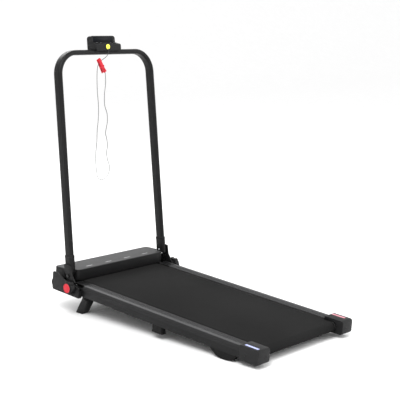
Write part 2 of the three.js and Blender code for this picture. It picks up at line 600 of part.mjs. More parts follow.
for (const [name, side] of SIDES) {
  const half = LEG_THICKNESS / 2;
  // the bore runs into the pivot hole
  const bore = legOutline(half - LEG_WALL, 3 - LEG_TUBE_RADIUS);
  // the tube's lower end is closed by a plug, so the bore stops short of the floor
  const stopped = bore.map(([y, z], i) => (i === 0 || i === bore.length - 1
    ? [y - LEG_PLUG * Math.sin(LEG_RAKE), z + LEG_PLUG * Math.cos(LEG_RAKE)] : [y, z]));
  add(deck, `incline_leg_${name}`, cut(
    prism(legOutline(half, 0), span(side, LEG_X)),
    prism(stopped, span(side, grow(LEG_X, -LEG_WALL))),
    rod(LEG_TUBE_RADIUS + GAP, span(side, grow(LEG_X, 3)), LEG_PIVOT),
  ), BLACK_PAINT);
}
add(deck, 'incline_leg_tube', rod(LEG_TUBE_RADIUS, [-(TUBE_INNER_X + 7), TUBE_INNER_X + 7], LEG_PIVOT),
  BLACK_PAINT);

// ---- handrail ---------------------------------------------------------------------------------------
const handrail = new THREE.Group();
handrail.position.set(0, POST_FOOT[0], POST_FOOT[1]);
handrail.rotation.x = -POST_LEAN;
deck.add(handrail);

// a deck (y, z) point in the handrail's own frame
function inHandrail([y, z]) {
  const dy = y - POST_FOOT[0];
  const dz = z - POST_FOOT[1];
  return [
    dy * Math.cos(POST_LEAN) - dz * Math.sin(POST_LEAN),
    dy * Math.sin(POST_LEAN) + dz * Math.cos(POST_LEAN),
  ];
}

// a flat-sided oval, thin along its first axis and round at its two ends
function ovalShape(thickness, depth) {
  const radius = thickness / 2;
  const flat = depth / 2 - radius;
  const shape = new THREE.Shape();
  shape.absarc(0, flat, radius, 0, Math.PI, false);
  shape.absarc(0, -flat, radius, Math.PI, 2 * Math.PI, false);
  return shape;
}

// The rings of the tube's centre line: up the left post, round its bend, and so to mid-bar.
// Each is [x, z, heading], with the heading in radians from upright.
function handrailRings(bendSteps = 8) {
  const lean = Math.atan2((POST_SPACING - POST_SPACING_TOP) / 2, BAR_HEIGHT);
  const foot = SOCKET_FLOOR + GAP;
  const xAt = (z) => -POST_SPACING / 2 + (z - SOCKET_HEIGHT / 2) * Math.tan(lean);
  const turn = Math.PI / 2 - lean;
  const setback = BEND_RADIUS * Math.tan(turn / 2);
  const bendStart = BAR_HEIGHT - setback * Math.cos(lean);
  const centre = [xAt(bendStart) + BEND_RADIUS * Math.cos(lean), bendStart - BEND_RADIUS * Math.sin(lean)];
  const rings = [[xAt(foot), foot, lean]];
  for (let i = 0; i <= bendSteps; i += 1) {
    const heading = lean + (turn * i) / bendSteps;
    rings.push([
      centre[0] - BEND_RADIUS * Math.cos(heading), centre[1] + BEND_RADIUS * Math.sin(heading), heading,
    ]);
  }
  return rings;
}

// A straight bar of the oval section, with each of its rings then moved onto the centre line.
function handrailTube() {
  const half = handrailRings();
  const rings = [...half, ...half.map(([x, z, heading]) => [-x, z, Math.PI - heading]).reverse()];
  const steps = rings.length - 1;
  const geometry = new THREE.ExtrudeGeometry(ovalShape(RAIL_TUBE_THICKNESS, RAIL_TUBE_DEPTH), {
    depth: steps, steps, bevelEnabled: false, curveSegments: 5,
  });
  const position = geometry.getAttribute('position');
  for (let i = 0; i < position.count; i += 1) {
    const [x, z, heading] = rings[Math.round(position.getZ(i))];
    const across = position.getX(i);
    position.setXYZ(i, x + across * Math.cos(heading), position.getY(i), z - across * Math.sin(heading));
  }
  return geometry;
}

add(handrail, 'handrail_tube', geometryOf(solid(handrailTube())), BLACK_PAINT);

function lockPlate() {
  const outer = [
    [1066, 72], [1028, 72], [1020, 34], [994, 0], [990, -16], [1001, -28], [1013, -27],
    [1049, 12], [1058, 30],
  ];
  return outer.map(inHandrail);
}

// The lock screw leaves the plate through this slot, which opens in the direction that the plate swings from.
function lockSlot(x) {
  const [py, pz] = FOLD_PIVOT;
  const [ly, lz] = LOCK_POINT;
  const radius = Math.hypot(ly - py, lz - pz);
  const start = Math.atan2(lz - pz, ly - py);
  const half = LOCK_SCREW_RADIUS + 0.8;
  const steps = 5;
  const sweep = -0.75;
  const edge = (r) => Array.from({ length: steps + 1 }, (_, i) => {
    const angle = start + 0.1 + ((sweep - 0.1) * i) / steps;
    return [py + r * Math.cos(angle), pz + r * Math.sin(angle)];
  });
  return prism([...edge(radius - half), ...edge(radius + half).reverse()].map(inHandrail).reverse(), x);
}

function postSocket(side) {
  const centre = (side * POST_SPACING) / 2;
  const half = RAIL_TUBE_THICKNESS / 2 + SOCKET_CLEARANCE + SOCKET_WALL;
  const deep = RAIL_TUBE_DEPTH / 2 + GAP + 2.2;
  const sleeve = slab(ovalShape(2 * half, 2 * deep), [0, SOCKET_HEIGHT]).translate(centre, 0, 0);
  const pocket = slab(ovalShape(RAIL_TUBE_THICKNESS + 2 * SOCKET_CLEARANCE, RAIL_TUBE_DEPTH + 2 * GAP),
    [SOCKET_FLOOR, SOCKET_HEIGHT + 5]).translate(centre, 0, 0);
  const bridge = block(span(side, [POST_SPACING / 2 + half - 3, PLATE_X[1]]), [-16, 16], [4, 34]);
  return cut(
    join(sleeve, bridge, prism(lockPlate(), span(side, PLATE_X))),
    pocket,
    rod(PIVOT_BOLT_RADIUS + GAP, span(side, grow(PLATE_X, 3)), inHandrail(FOLD_PIVOT)),
    lockSlot(span(side, grow(PLATE_X, 3))),
  );
}

function knobOutline() {
  const points = [];
  const count = 48;
  for (let i = 0; i < count; i += 1) {
    const angle = (2 * Math.PI * i) / count;
    const radius = KNOB_RADIUS + KNOB_LOBE * Math.cos(6 * angle);
    points.push([LOCK_POINT[0] + radius * Math.cos(angle), LOCK_POINT[1] + radius * Math.sin(angle)]);
  }
  return points;
}

for (const [name, side] of SIDES) {
  add(handrail, `post_socket_${name}`, postSocket(side), BLACK_PAINT);
  const nut = [TUBE_OUTER_X - 13, TUBE_OUTER_X - 6 - GAP];
  const head = [PLATE_X[1] + GAP, PLATE_X[1] + 5];
  add(deck, `fold_pivot_bolt_${name}`, join(
    rod(PIVOT_BOLT_RADIUS, span(side, [nut[0], head[1]]), FOLD_PIVOT),
    rod(8, span(side, nut), FOLD_PIVOT, 6),
    rod(8.5, span(side, head), FOLD_PIVOT, 6),
  ), STEEL);
  add(deck, `lock_knob_${name}`, join(
    prism(knobOutline(), span(side, KNOB_X)),
    rod(15, span(side, [PLATE_X[1] + GAP, KNOB_X[0] + 1]), LOCK_POINT),
    rod(LOCK_SCREW_RADIUS, span(side, [TUBE_OUTER_X - 7, KNOB_X[0] + 1]), LOCK_POINT, 16),
  ), BLACK_PLASTIC);
  const capStart = KNOB_X[1] + GAP;
  add(deck, `lock_knob_cap_${name}`, turned([
    [0, capStart], [KNOB_CAP_RADIUS, capStart], [KNOB_CAP_RADIUS, capStart + KNOB_CAP_THICKNESS - 2],
    [KNOB_CAP_RADIUS - 3, capStart + KNOB_CAP_THICKNESS - 0.6], [0, capStart + KNOB_CAP_THICKNESS],
  ].map(([radius, x]) => [radius, side * x]), LOCK_POINT, 24), RED_PLASTIC);
}

// ---- console ------------------------------------------------------------------------------------------
const head = new THREE.Group();
head.position.set(0, 0, BAR_HEIGHT);
handrail.add(head);

const BAR_TOP = RAIL_TUBE_THICKNESS / 2;
const BAR_SIDE = RAIL_TUBE_DEPTH / 2 + GAP;
const SLOPE = Math.atan2(SLOPE_END[1] - SLOPE_START[1], SLOPE_END[0] - SLOPE_START[0]);
const KEY_SEAT_Y = CONSOLE_FRONT_Y + KEY_RECESS;

// a piece drawn flat around the origin, moved onto the console's sloping button panel
function onSlope(geometry, x, lift) {
  const y = (SLOPE_START[0] + SLOPE_END[0]) / 2 - lift * Math.sin(SLOPE);
  const z = (SLOPE_START[1] + SLOPE_END[1]) / 2 + lift * Math.cos(SLOPE);
  return geometry.rotateX(SLOPE).translate(x, y, z);
}

// a round bar along the key's fore-and-aft axis
function pin(radius, [y0, y1], segments = 24) {
  const [x, z] = KEY_AT;
  return new THREE.CylinderGeometry(radius, radius, y1 - y0, segments).translate(x, (y0 + y1) / 2, z);
}

// the console's front view: a rectangle with rounded corners, through its whole depth
function consoleEnvelope() {
  const w = CONSOLE_HALF_WIDTH;
  const c = CONSOLE_CORNER;
  const [low, high] = [CONSOLE_BOTTOM, CONSOLE_TOP];
  const shape = new THREE.Shape();
  shape.moveTo(-w + c / 2, low);
  shape.lineTo(w - c / 2, low);
  shape.quadraticCurveTo(w, low, w, low + c / 2);
  shape.lineTo(w, high - c);
  shape.quadraticCurveTo(w, high, w - c, high);
  shape.lineTo(-w + c, high);
  shape.quadraticCurveTo(-w, high, -w, high - c);
  shape.lineTo(-w, low + c / 2);
  shape.quadraticCurveTo(-w, low, -w + c / 2, low);
  return new THREE.ExtrudeGeometry(shape, { depth: 90, bevelEnabled: false, curveSegments: 4 })
    .rotateX(Math.PI / 2).translate(0, 45, 0);
}

const within = (body, envelope) => geometryOf(solid(body).intersect(solid(envelope)));

function consoleFront() {
  const x = [-CONSOLE_HALF_WIDTH, CONSOLE_HALF_WIDTH];
  const bottom = BAR_TOP + GAP;
  const body = prism([
    [CONSOLE_FRONT_Y, CONSOLE_BOTTOM], [-BAR_SIDE, CONSOLE_BOTTOM], [-BAR_SIDE, bottom],
    [CONSOLE_SPLIT_Y, bottom], [CONSOLE_SPLIT_Y, CONSOLE_TOP], [DISPLAY_Y + 3, CONSOLE_TOP],
    [DISPLAY_Y, CONSOLE_TOP - 3], SLOPE_END, SLOPE_START, [CONSOLE_FRONT_Y, SLOPE_START[1] - 5],
  ], x);
  const w = CONSOLE_WALL;
  const inset = CONSOLE_CORNER / 2;
  const hollow = prism([
    [-BAR_SIDE - 3, bottom + w], [CONSOLE_SPLIT_Y + 2, bottom + w], [CONSOLE_SPLIT_Y + 2, CONSOLE_TOP - inset],
    [DISPLAY_Y + w + 1, CONSOLE_TOP - inset], [DISPLAY_Y + w + 1, SLOPE_END[1] - w],
    [-BAR_SIDE - 3, SLOPE_START[1] - w + 1],
  ], grow(x, -inset));
  const [wide, deep] = BUTTON_SIZE;
  const wells = Object.values(BUTTON_X).map((at) =>
    onSlope(new THREE.BoxGeometry(wide + 2 * GAP, deep + 2 * GAP, 14), at, 0));
  const screen = block(grow(DISPLAY_X, GAP), [DISPLAY_Y - 2, DISPLAY_Y + 1.6], grow(DISPLAY_Z, GAP));
  const ring = pin(KEY_RADIUS + KEY_RING_WIDTH, [CONSOLE_FRONT_Y - KEY_RING_PROUD, CONSOLE_FRONT_Y + 1], 28);
  const recess = pin(KEY_RADIUS + GAP, [CONSOLE_FRONT_Y - KEY_RING_PROUD - 1, KEY_SEAT_Y], 28);
  const socket = pin(KEY_STEM_RADIUS + GAP, [KEY_SEAT_Y - 2, CONSOLE_FRONT_Y + 12]);
  return cut(join(within(body, consoleEnvelope()), ring), hollow, ...wells, screen, recess, socket);
}

function consoleBack() {
  const bottom = BAR_TOP + GAP;
  const start = CONSOLE_SPLIT_Y + GAP;
  return within(prism([
    [start, bottom], [BAR_SIDE, bottom], [BAR_SIDE, CONSOLE_BOTTOM], [CONSOLE_BACK_Y, CONSOLE_BOTTOM],
    [CONSOLE_BACK_Y, CONSOLE_TOP - 8], [CONSOLE_BACK_Y - 5, CONSOLE_TOP], [start, CONSOLE_TOP],
  ], [-CONSOLE_HALF_WIDTH, CONSOLE_HALF_WIDTH]), consoleEnvelope());
}

add(head, 'console_front', consoleFront(), BLACK_PLASTIC);
add(head, 'console_back', consoleBack(), BLACK_PLASTIC);
add(head, 'display_window', block(DISPLAY_X, [DISPLAY_Y, DISPLAY_Y + 1.3], DISPLAY_Z), SMOKED_GLASS);
for (const [name, x] of Object.entries(BUTTON_X)) {
  add(head, name, onSlope(new THREE.BoxGeometry(...BUTTON_SIZE), x, -0.8), BLACK_PLASTIC);
}
add(head, 'safety_key', join(
  pin(KEY_RADIUS, [KEY_SEAT_Y - GAP - KEY_THICKNESS, KEY_SEAT_Y - GAP], 28),
  pin(KEY_STEM_RADIUS, [KEY_SEAT_Y - GAP - 1, CONSOLE_FRONT_Y + 5]),
), YELLOW_PLASTIC);

// ---- origin: on the floor, under the middle of the machine's box -----------------------------------------
treadmill.updateMatrixWorld(true);
const box = new THREE.Box3().setFromObject(treadmill, true);
deck.position.set(0, -(box.min.y + box.max.y) / 2, FLOOR_OFFSET);

// ---- safety cord and its clip ----------------------------------------------------------------------------
// Centre line of the cord, from the face of the key through the clip's jaws, down its long hanging
// bight and back up to the boss on the clip's lower end.
const CORD_ROUTE = [
  [-6, -31.9, 15.8], [-6.1, -34.2, 14.4], [-6.6, -35.0, 7.8], [-8.5, -33.4, -4.2], [-14, -30.6, -15.2],
  [-24, -28.9, -23.2],
  ...[
    [-45, -34.7], [-57, -44.7], [-65, -60.2], [-68, -80.2], [-69, -117.2], [-67, -167.2], [-62, -217.2],
    [-61, -250.2], [-64, -292.2], [-69.5, -332.2], [-72, -382.2], [-78, -427.2], [-78.5, -470.2],
    [-74, -505.2], [-67, -535.2], [-48, -546.7], [-29, -544.2], [-10, -531.2], [0, -510.2], [0.5, -490.2],
    [-10, -463.2], [-15.5, -434.2], [-11, -401.2], [-14.5, -370.2], [-21.5, -346.2], [-16.5, -322.2],
    [-10.5, -295.2], [-12.5, -260.2], [-25, -227.2], [-27, -182.2], [-21, -138.2], [-20, -110.2],
    [-23.1, -81.5],
  ].map(([x, z]) => [x, CORD_PLANE_Y, z]),
];

const barMiddle = head.localToWorld(new THREE.Vector3());
const cordLine = new THREE.CatmullRomCurve3(CORD_ROUTE.map((point) => new THREE.Vector3(...point).add(barMiddle)));
const cordSection = new THREE.Shape(Array.from({ length: 8 }, (_, i) => new THREE.Vector2(
  (CORD_DIAMETER / 2) * Math.cos((Math.PI * i) / 4), (CORD_DIAMETER / 2) * Math.sin((Math.PI * i) / 4))));
add(treadmill, 'key_cord', geometryOf(solid(new THREE.ExtrudeGeometry(cordSection, {
  steps: CORD_STEPS, extrudePath: cordLine, bevelEnabled: false,
}))), CORD_GREY);

// The clip's own frame: z runs up its length, x across it, y through its thickness.
const clip = new THREE.Group();
clip.position.set(CLIP_TAIL[0], CORD_PLANE_Y, CLIP_TAIL[1]).add(barMiddle);
clip.rotation.y = -CLIP_TILT;
treadmill.add(clip);

const HINGE_AXIS = [-JAW_GAP - 1.5, CLIP_HINGE];
const HINGE_PIN_RADIUS = 1.3;
const BOSS_AT = [8.65, 3]; // of the cord's end, across and along the clip
add(clip, 'safety_clip', cut(
  join(
    block([-CLIP_HALF_WIDTH, CLIP_HALF_WIDTH], [JAW_GAP, JAW_GAP + 3], [0, CLIP_LENGTH]),
    ...SIDES.map(([, side]) => block(span(side, [CLIP_HALF_WIDTH - 1.6, CLIP_HALF_WIDTH]),
      [HINGE_AXIS[0] - 3.5, JAW_GAP + 1], [CLIP_HINGE - 4, CLIP_HINGE + 4])),
    new THREE.CylinderGeometry(2.4, 2.4, 8, 16).rotateX(Math.PI / 2).rotateY(CLIP_TILT)
      .translate(BOSS_AT[0], 0, BOSS_AT[1]),
  ),
  rod(HINGE_PIN_RADIUS + GAP, [-CLIP_HALF_WIDTH - 2, CLIP_HALF_WIDTH + 2], HINGE_AXIS, 16),
), RED_PLASTIC);
add(clip, 'clip_jaw', join(
  prism([
    [-JAW_GAP, CLIP_LENGTH], [-JAW_GAP - 3, CLIP_LENGTH - 3], [-JAW_GAP - 3.9, CLIP_HINGE],
    [-JAW_GAP - 3.7, CLIP_HINGE - 4], [-11, 2], [-8, 2], [-JAW_GAP - 0.7, CLIP_HINGE - 4], [-JAW_GAP, CLIP_HINGE + 2],
  ], [-CLIP_HALF_WIDTH + 2, CLIP_HALF_WIDTH - 2]),
  rod(HINGE_PIN_RADIUS, [-CLIP_HALF_WIDTH - 0.8, CLIP_HALF_WIDTH + 0.8], HINGE_AXIS, 16),
), RED_PLASTIC);

export default treadmill;
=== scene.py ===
import math

import bmesh
import bpy
from mathutils import Matrix, Vector


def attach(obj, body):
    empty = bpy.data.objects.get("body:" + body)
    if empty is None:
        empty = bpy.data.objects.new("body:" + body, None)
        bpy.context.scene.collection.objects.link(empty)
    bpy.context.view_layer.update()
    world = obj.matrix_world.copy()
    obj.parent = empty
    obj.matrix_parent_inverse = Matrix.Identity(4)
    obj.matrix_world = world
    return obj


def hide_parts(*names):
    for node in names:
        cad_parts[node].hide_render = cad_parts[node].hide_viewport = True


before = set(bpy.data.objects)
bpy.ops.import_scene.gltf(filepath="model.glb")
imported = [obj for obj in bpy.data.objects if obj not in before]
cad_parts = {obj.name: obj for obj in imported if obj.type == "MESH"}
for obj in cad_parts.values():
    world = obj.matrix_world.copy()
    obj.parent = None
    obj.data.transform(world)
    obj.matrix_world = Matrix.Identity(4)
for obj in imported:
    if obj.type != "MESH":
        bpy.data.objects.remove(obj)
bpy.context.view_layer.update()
MM = 0.001

# ---- frames: the deck's, the handrail's and the console's, in millimetres, as in the CAD ---------
NOSE_UP = math.radians(4.0)
POST_LEAN = math.radians(9.2)
DECK_AT = (0.0, -580.432, 63.183)
POST_FOOT = (0.0, 1048.5, 37.0)
BAR_HEIGHT = 912.7
POST_SPACING, POST_SPACING_TOP = 540.0, 525.0
BEND_RADIUS = 92.0
POST_THICKNESS, POST_DEPTH = 21.0, 43.0  # the handrail tube's oval section
POST_LEAN_IN = math.atan2((POST_SPACING - POST_SPACING_TOP) / 2, BAR_HEIGHT)
POST_SPACING_AT = 33.5  # the height where the posts stand POST_SPACING apart
LOCK_POINT = (1006.0, -14.0)
WHEEL_AXIS = (1126.0, -27.0)
CLIP_AT = (-29.4, -28.6, -83.9)  # from the middle of the handrail's bar
CLIP_TILT = math.radians(27.7)

DECK = Matrix.Translation(DECK_AT) @ Matrix.Rotation(NOSE_UP, 4, "X")
RAIL = DECK @ Matrix.Translation(POST_FOOT) @ Matrix.Rotation(-POST_LEAN, 4, "X")
HEAD = RAIL @ Matrix.Translation((0, 0, BAR_HEIGHT))
CLIP = Matrix.Translation(HEAD.to_translation() + Vector(CLIP_AT)) @ Matrix.Rotation(-CLIP_TILT, 4, "Y")
SIDES = (("left", -1), ("right", 1))

# ---- camera --------------------------------------------------------------------------------------
camera = bpy.data.objects.new("camera", bpy.data.cameras.new("camera"))
bpy.context.scene.collection.objects.link(camera)
bpy.context.scene.camera = camera
camera.data.sensor_width = 36.0
camera.data.lens = 92.9
camera.data.clip_end = 200.0
right = Vector((0.67776, -0.73521, 0.01231)).normalized()
back = Vector((-0.72551, -0.66589, 0.17373)).normalized()
up = back.cross(right).normalized()
right = up.cross(back)
camera.matrix_world = Matrix((
    (right.x, up.x, back.x, -3.015), (right.y, up.y, back.y, -2.7893),
    (right.z, up.z, back.z, 1.2319), (0, 0, 0, 1)))


# ---- materials -----------------------------------------------------------------------------------
def new_material(name):
    material = bpy.data.materials.new(name)
    material.use_nodes = True
    tree = material.node_tree
    shader = tree.nodes["Principled BSDF"]
    coords = tree.nodes.new("ShaderNodeTexCoord")
    return material, tree, shader, coords.outputs["Object"]


def noise(tree, source, scale, detail=3.0, rough=0.55, stretch=(1, 1, 1)):
    mapping = tree.nodes.new("ShaderNodeMapping")
    mapping.inputs["Scale"].default_value = stretch
    tree.links.new(source, mapping.inputs["Vector"])
    node = tree.nodes.new("ShaderNodeTexNoise")
    node.inputs["Scale"].default_value = scale
    node.inputs["Detail"].default_value = detail
    node.inputs["Roughness"].default_value = rough
    tree.links.new(mapping.outputs["Vector"], node.inputs["Vector"])
    return node.outputs["Fac"]


def ramp(tree, source, low, high, start=0.3, end=0.7):
    node = tree.nodes.new("ShaderNodeValToRGB")
    for element, position, colour in zip(node.color_ramp.elements, (start, end), (low, high)):
        element.position = position
        element.color = (*colour, 1)
    tree.links.new(source, node.inputs["Fac"])
    return node.outputs["Color"]


def spread(tree, source, low, high):
    node = tree.nodes.new("ShaderNodeMapRange")
    node.inputs["To Min"].default_value = low
    node.inputs["To Max"].default_value = high
    tree.links.new(source, node.inputs["Value"])
    return node.outputs["Result"]


def bump(tree, shader, height, strength, distance):
    node = tree.nodes.new("ShaderNodeBump")
    node.inputs["Strength"].default_value = strength
    node.inputs["Distance"].default_value = distance
    tree.links.new(height, node.inputs["Height"])
    last = shader.inputs["Normal"].links[0].from_socket if shader.inputs["Normal"].links else None
    if last is not None:
        tree.links.new(last, node.inputs["Normal"])
    tree.links.new(node.outputs["Normal"], shader.inputs["Normal"])


def surface(name, base, vary=0.18, rough=(0.4, 0.55), metallic=0.0, grain=900.0, grain_depth=0.00004,
            blotch=9.0, specular=0.5):
    """A finish with cloudy colour variation, uneven gloss and a fine surface grain."""
    material, tree, shader, where = new_material(name)
    low = tuple(c * (1 - vary) for c in base)
    high = tuple(min(1.0, c * (1 + vary)) for c in base)
    clouds = noise(tree, where, blotch, 4.0)
    tree.links.new(ramp(tree, clouds, low, high), shader.inputs["Base Color"])
    tree.links.new(spread(tree, noise(tree, where, blotch * 4, 2.0), *rough), shader.inputs["Roughness"])
    shader.inputs["Metallic"].default_value = metallic
    shader.inputs["Specular IOR Level"].default_value = specular
    bump(tree, shader, noise(tree, where, grain, 2.0), 0.5, grain_depth)
    return material, tree, shader, where


powder = surface("powder_coat_black", (0.0065, 0.0065, 0.0068), rough=(0.36, 0.5), grain=650,
                 grain_depth=0.00009, specular=0.17)[0]
plastic = surface("moulded_black_plastic", (0.009, 0.009, 0.0094), rough=(0.42, 0.6), grain=1400,
                  grain_depth=0.00006, specular=0.18)[0]
satin = surface("satin_black_plastic", (0.008, 0.008, 0.0085), rough=(0.25, 0.38), grain=1800,
                grain_depth=0.00002, specular=0.2)[0]
rubber = surface("foot_rubber", (0.010, 0.010, 0.010), rough=(0.65, 0.85), grain=800, grain_depth=0.00012,
                 specular=0.1)[0]
zinc = surface("zinc_plated_steel", (0.55, 0.55, 0.57), vary=0.08, rough=(0.25, 0.42), metallic=1.0,
               grain=500, grain_depth=0.00002)[0]
red = surface("red_plastic", (0.52, 0.010, 0.024), vary=0.10, rough=(0.28, 0.42), grain=1200,
              grain_depth=0.00003, specular=0.3)[0]
yellow = surface("yellow_plastic", (0.93, 0.90, 0.08), vary=0.05, rough=(0.3, 0.42), grain=1200,
                 grain_depth=0.00003)[0]
blue_strip = surface("pale_blue_strip", (0.40, 0.44, 0.75), vary=0.10, rough=(0.3, 0.45), grain=900,
                     grain_depth=0.00002, blotch=40)[0]
pink_strip = surface("pale_pink_strip", (0.62, 0.24, 0.29), vary=0.10, rough=(0.3, 0.45), grain=900,
                     grain_depth=0.00002, blotch=40)[0]
pale = surface("pale_inlay", (0.42, 0.42, 0.43), vary=0.1, rough=(0.35, 0.5), grain=900, grain_depth=0.00002)[0]
# flat dark plates for the cooling slots: painted shade in place of open slots
slot_painted_shade = surface("painted_slot_shade_black", (0.008, 0.008, 0.008), rough=(0.6, 0.8), grain=500, grain_depth=0.00004)[0]
enamel = surface("motor_enamel", (0.05, 0.052, 0.055), rough=(0.35, 0.5), grain=400, grain_depth=0.00008)[0]


def brushed(name, base, along, rough=(0.42, 0.56), metallic=0.0):
    """A metallic grey finish with fine brush lines that run along one axis."""
    material, tree, shader, where = surface(name, base, vary=0.10, rough=rough, metallic=metallic, blotch=5,
                                            specular=0.14)
    stretch = tuple(4 if axis == along else 420 for axis in "xyz")
    lines = noise(tree, where, 1.0, 2.0, stretch=stretch)
    mix = tree.nodes.new("ShaderNodeMix")
    mix.data_type = "RGBA"
    mix.blend_type = "MULTIPLY"
    mix.inputs["Factor"].default_value = 0.55
    old = shader.inputs["Base Color"].links[0].from_socket
    tree.links.new(old, mix.inputs["A"])
    tree.links.new(ramp(tree, lines, (0.62, 0.62, 0.62), (1, 1, 1), 0.35, 0.65), mix.inputs["B"])
    tree.links.new(mix.outputs["Result"], shader.inputs["Base Color"])
    bump(tree, shader, lines, 0.35, 0.00005)
    return material


hood_grey = brushed("brushed_grey_hood", (0.040, 0.040, 0.0412), "x")
tread_grey = brushed("brushed_grey_tread", (0.046, 0.046, 0.0472), "y")
# a brighter copy of the tread's brushed grey: painted highlight on the rails' upward outer band
tread_painted_highlight = brushed("brushed_grey_painted_highlight", (0.062, 0.062, 0.0636), "y")
dark_steel = surface("black_oxide_steel", (0.06, 0.06, 0.062), vary=0.1, rough=(0.3, 0.45), metallic=0.9,
                     grain=500, grain_depth=0.00002)[0]
turned_steel = brushed("turned_steel", (0.5, 0.5, 0.51), "x", rough=(0.2, 0.32), metallic=1.0)


def belt_material():
    """Rubber belt with a fine lozenge pattern across it."""
    material, tree, shader, where = surface("running_belt_rubber", (0.0165, 0.0165, 0.0165), vary=0.12,
                                            rough=(0.75, 0.9), grain=500, grain_depth=0.00006, blotch=3,
                                            specular=0.02)
    heights = []
    for turn in (math.radians(32), math.radians(-32)):
        mapping = tree.nodes.new("ShaderNodeMapping")
        mapping.inputs["Rotation"].default_value = (0, 0, turn)
        tree.links.new(where, mapping.inputs["Vector"])
        wave = tree.nodes.new("ShaderNodeTexWave")
        wave.inputs["Scale"].default_value = 95
        wave.inputs["Distortion"].default_value = 0.2
        tree.links.new(mapping.outputs["Vector"], wave.inputs["Vector"])
        heights.append(wave.outputs["Fac"])
    both = tree.nodes.new("ShaderNodeMath")
    both.operation = "MULTIPLY"
    tree.links.new(heights[0], both.inputs[0])
    tree.links.new(heights[1], both.inputs[1])
    bump(tree, shader, both.outputs[0], 0.6, 0.0003)
    return material


def cord_material():
    """Thin braided cord: diagonal bands along its length."""
    material, tree, shader, where = surface("braided_cord", (0.035, 0.036, 0.038), vary=0.12, rough=(0.6, 0.75),
                                            grain=2500, grain_depth=0.00008, blotch=60)
    wave = tree.nodes.new("ShaderNodeTexWave")
    wave.wave_type = "BANDS"
    wave.bands_direction = "DIAGONAL"
    wave.inputs["Scale"].default_value = 420
    tree.links.new(where, wave.inputs["Vector"])
    bump(tree, shader, wave.outputs["Fac"], 0.7, 0.0002)
    return material


def wood_material():
    material, tree, shader, where = surface("deck_board_laminate", (0.012, 0.012, 0.012), rough=(0.5, 0.65),
                                            specular=0.1)
    grain = noise(tree, where, 1.0, 5.0, stretch=(260, 6, 260))
    tree.links.new(ramp(tree, grain, (0.008, 0.008, 0.008), (0.018, 0.017, 0.016)), shader.inputs["Base Color"])
    return material


belt_rubber = belt_material()
cord_braid = cord_material()
wood = wood_material()
glass = surface("smoked_screen", (0.005, 0.006, 0.008), vary=0.1, rough=(0.2, 0.3), grain=200,
                grain_depth=0.000005, specular=0.08)[0]


# ---- making pieces -------------------------------------------------------------------------------
def finish_mesh(bm, name, material, body, where=None, bevel=0.0, segments=3, sharp=35, replaces=(),
                weld=True):
    """Turns a bmesh in millimetres into a piece in metres that rides on a body."""
    if where is not None:
        bmesh.ops.transform(bm, matrix=where, verts=bm.verts)
        bmesh.ops.scale(bm, vec=(MM, MM, MM), verts=bm.verts)
    if weld:
        bmesh.ops.remove_doubles(bm, verts=bm.verts, dist=1e-6)
    bmesh.ops.recalc_face_normals(bm, faces=bm.faces)
    mesh = bpy.data.meshes.new(name)
    bm.to_mesh(mesh)
    bm.free()
    piece = bpy.data.objects.new(name, mesh)
    bpy.context.scene.collection.objects.link(piece)
    mesh.materials.append(material)
    mesh.shade_smooth()
    if bevel:
        modifier = piece.modifiers.new("edges", "BEVEL")
        modifier.width = bevel * MM
        modifier.segments = segments
        modifier.limit_method = "ANGLE"
        modifier.angle_limit = math.radians(sharp)
        modifier.harden_normals = True
        modifier.use_clamp_overlap = True
    else:
        mesh.set_sharp_from_angle(angle=math.radians(sharp))
    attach(piece, body)
    if replaces:
        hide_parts(*replaces)
    return piece


def refined(node, material, body, bevel, segments=3, sharp=32, name=None):
    """The CAD node's own shape with its flat faces whole again and its edges softly rounded."""
    bm = bmesh.new()
    bm.from_mesh(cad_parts[node].data)
    bmesh.ops.remove_doubles(bm, verts=bm.verts, dist=2e-6)
    bmesh.ops.dissolve_limit(bm, angle_limit=math.radians(0.6), verts=bm.verts, edges=bm.edges)
    return finish_mesh(bm, name or node + "_shape", material, body, bevel=bevel, segments=segments, sharp=sharp,
                       replaces=(node,))


def band(bm, one, two):
    """The strip of faces between two rings of corners."""
    for i in range(len(one)):
        j = (i + 1) % len(one)
        bm.faces.new((one[i], one[j], two[j], two[i]))


def ring_faces(bm, rings):
    """Faces between successive rings of points, with end caps."""
    rows = [[bm.verts.new(point) for point in ring] for ring in rings]
    for one, two in zip(rows, rows[1:]):
        band(bm, one, two)
    bm.faces.new(rows[0][::-1])
    bm.faces.new(rows[-1])


def closed_loop(bm, rings):
    """Faces between successive rings of points and back from the last ring to the first."""
    rows = [[bm.verts.new(point) for point in ring] for ring in rings]
    for one, two in zip(rows, rows[1:] + rows[:1]):
        band(bm, one, two)


def prism(outline, x0, x1):
    """A (y, z) outline drawn along x."""
    bm = bmesh.new()
    ring_faces(bm, [[(x, y, z) for y, z in outline] for x in (x0, x1)])
    return bm


def turned(profile, centre, steps=48, loop=False):
    """A [radius, x] profile turned about the x axis through (y, z). It starts and ends on the axis."""
    bm = bmesh.new()
    y0, z0 = centre
    rings = []
    for radius, x in profile:
        if radius < 1e-6:
            rings.append([bm.verts.new((x, y0, z0))])
            continue
        rings.append([bm.verts.new((x, y0 + radius * math.cos(a), z0 + radius * math.sin(a)))
                      for a in (2 * math.pi * i / steps for i in range(steps))])
    pairs = list(zip(rings, rings[1:]))
    if loop:
        pairs.append((rings[-1], rings[0]))
    for one, two in pairs:
        for i in range(steps):
            j = (i + 1) % steps
            if len(one) == 1 and len(two) == 1:
                break
            if len(one) == 1:
                bm.faces.new((one[0], two[i], two[j]))
            elif len(two) == 1:
                bm.faces.new((one[i], one[j], two[0]))
            else:
                bm.faces.new((one[i], one[j], two[j], two[i]))
    return bm


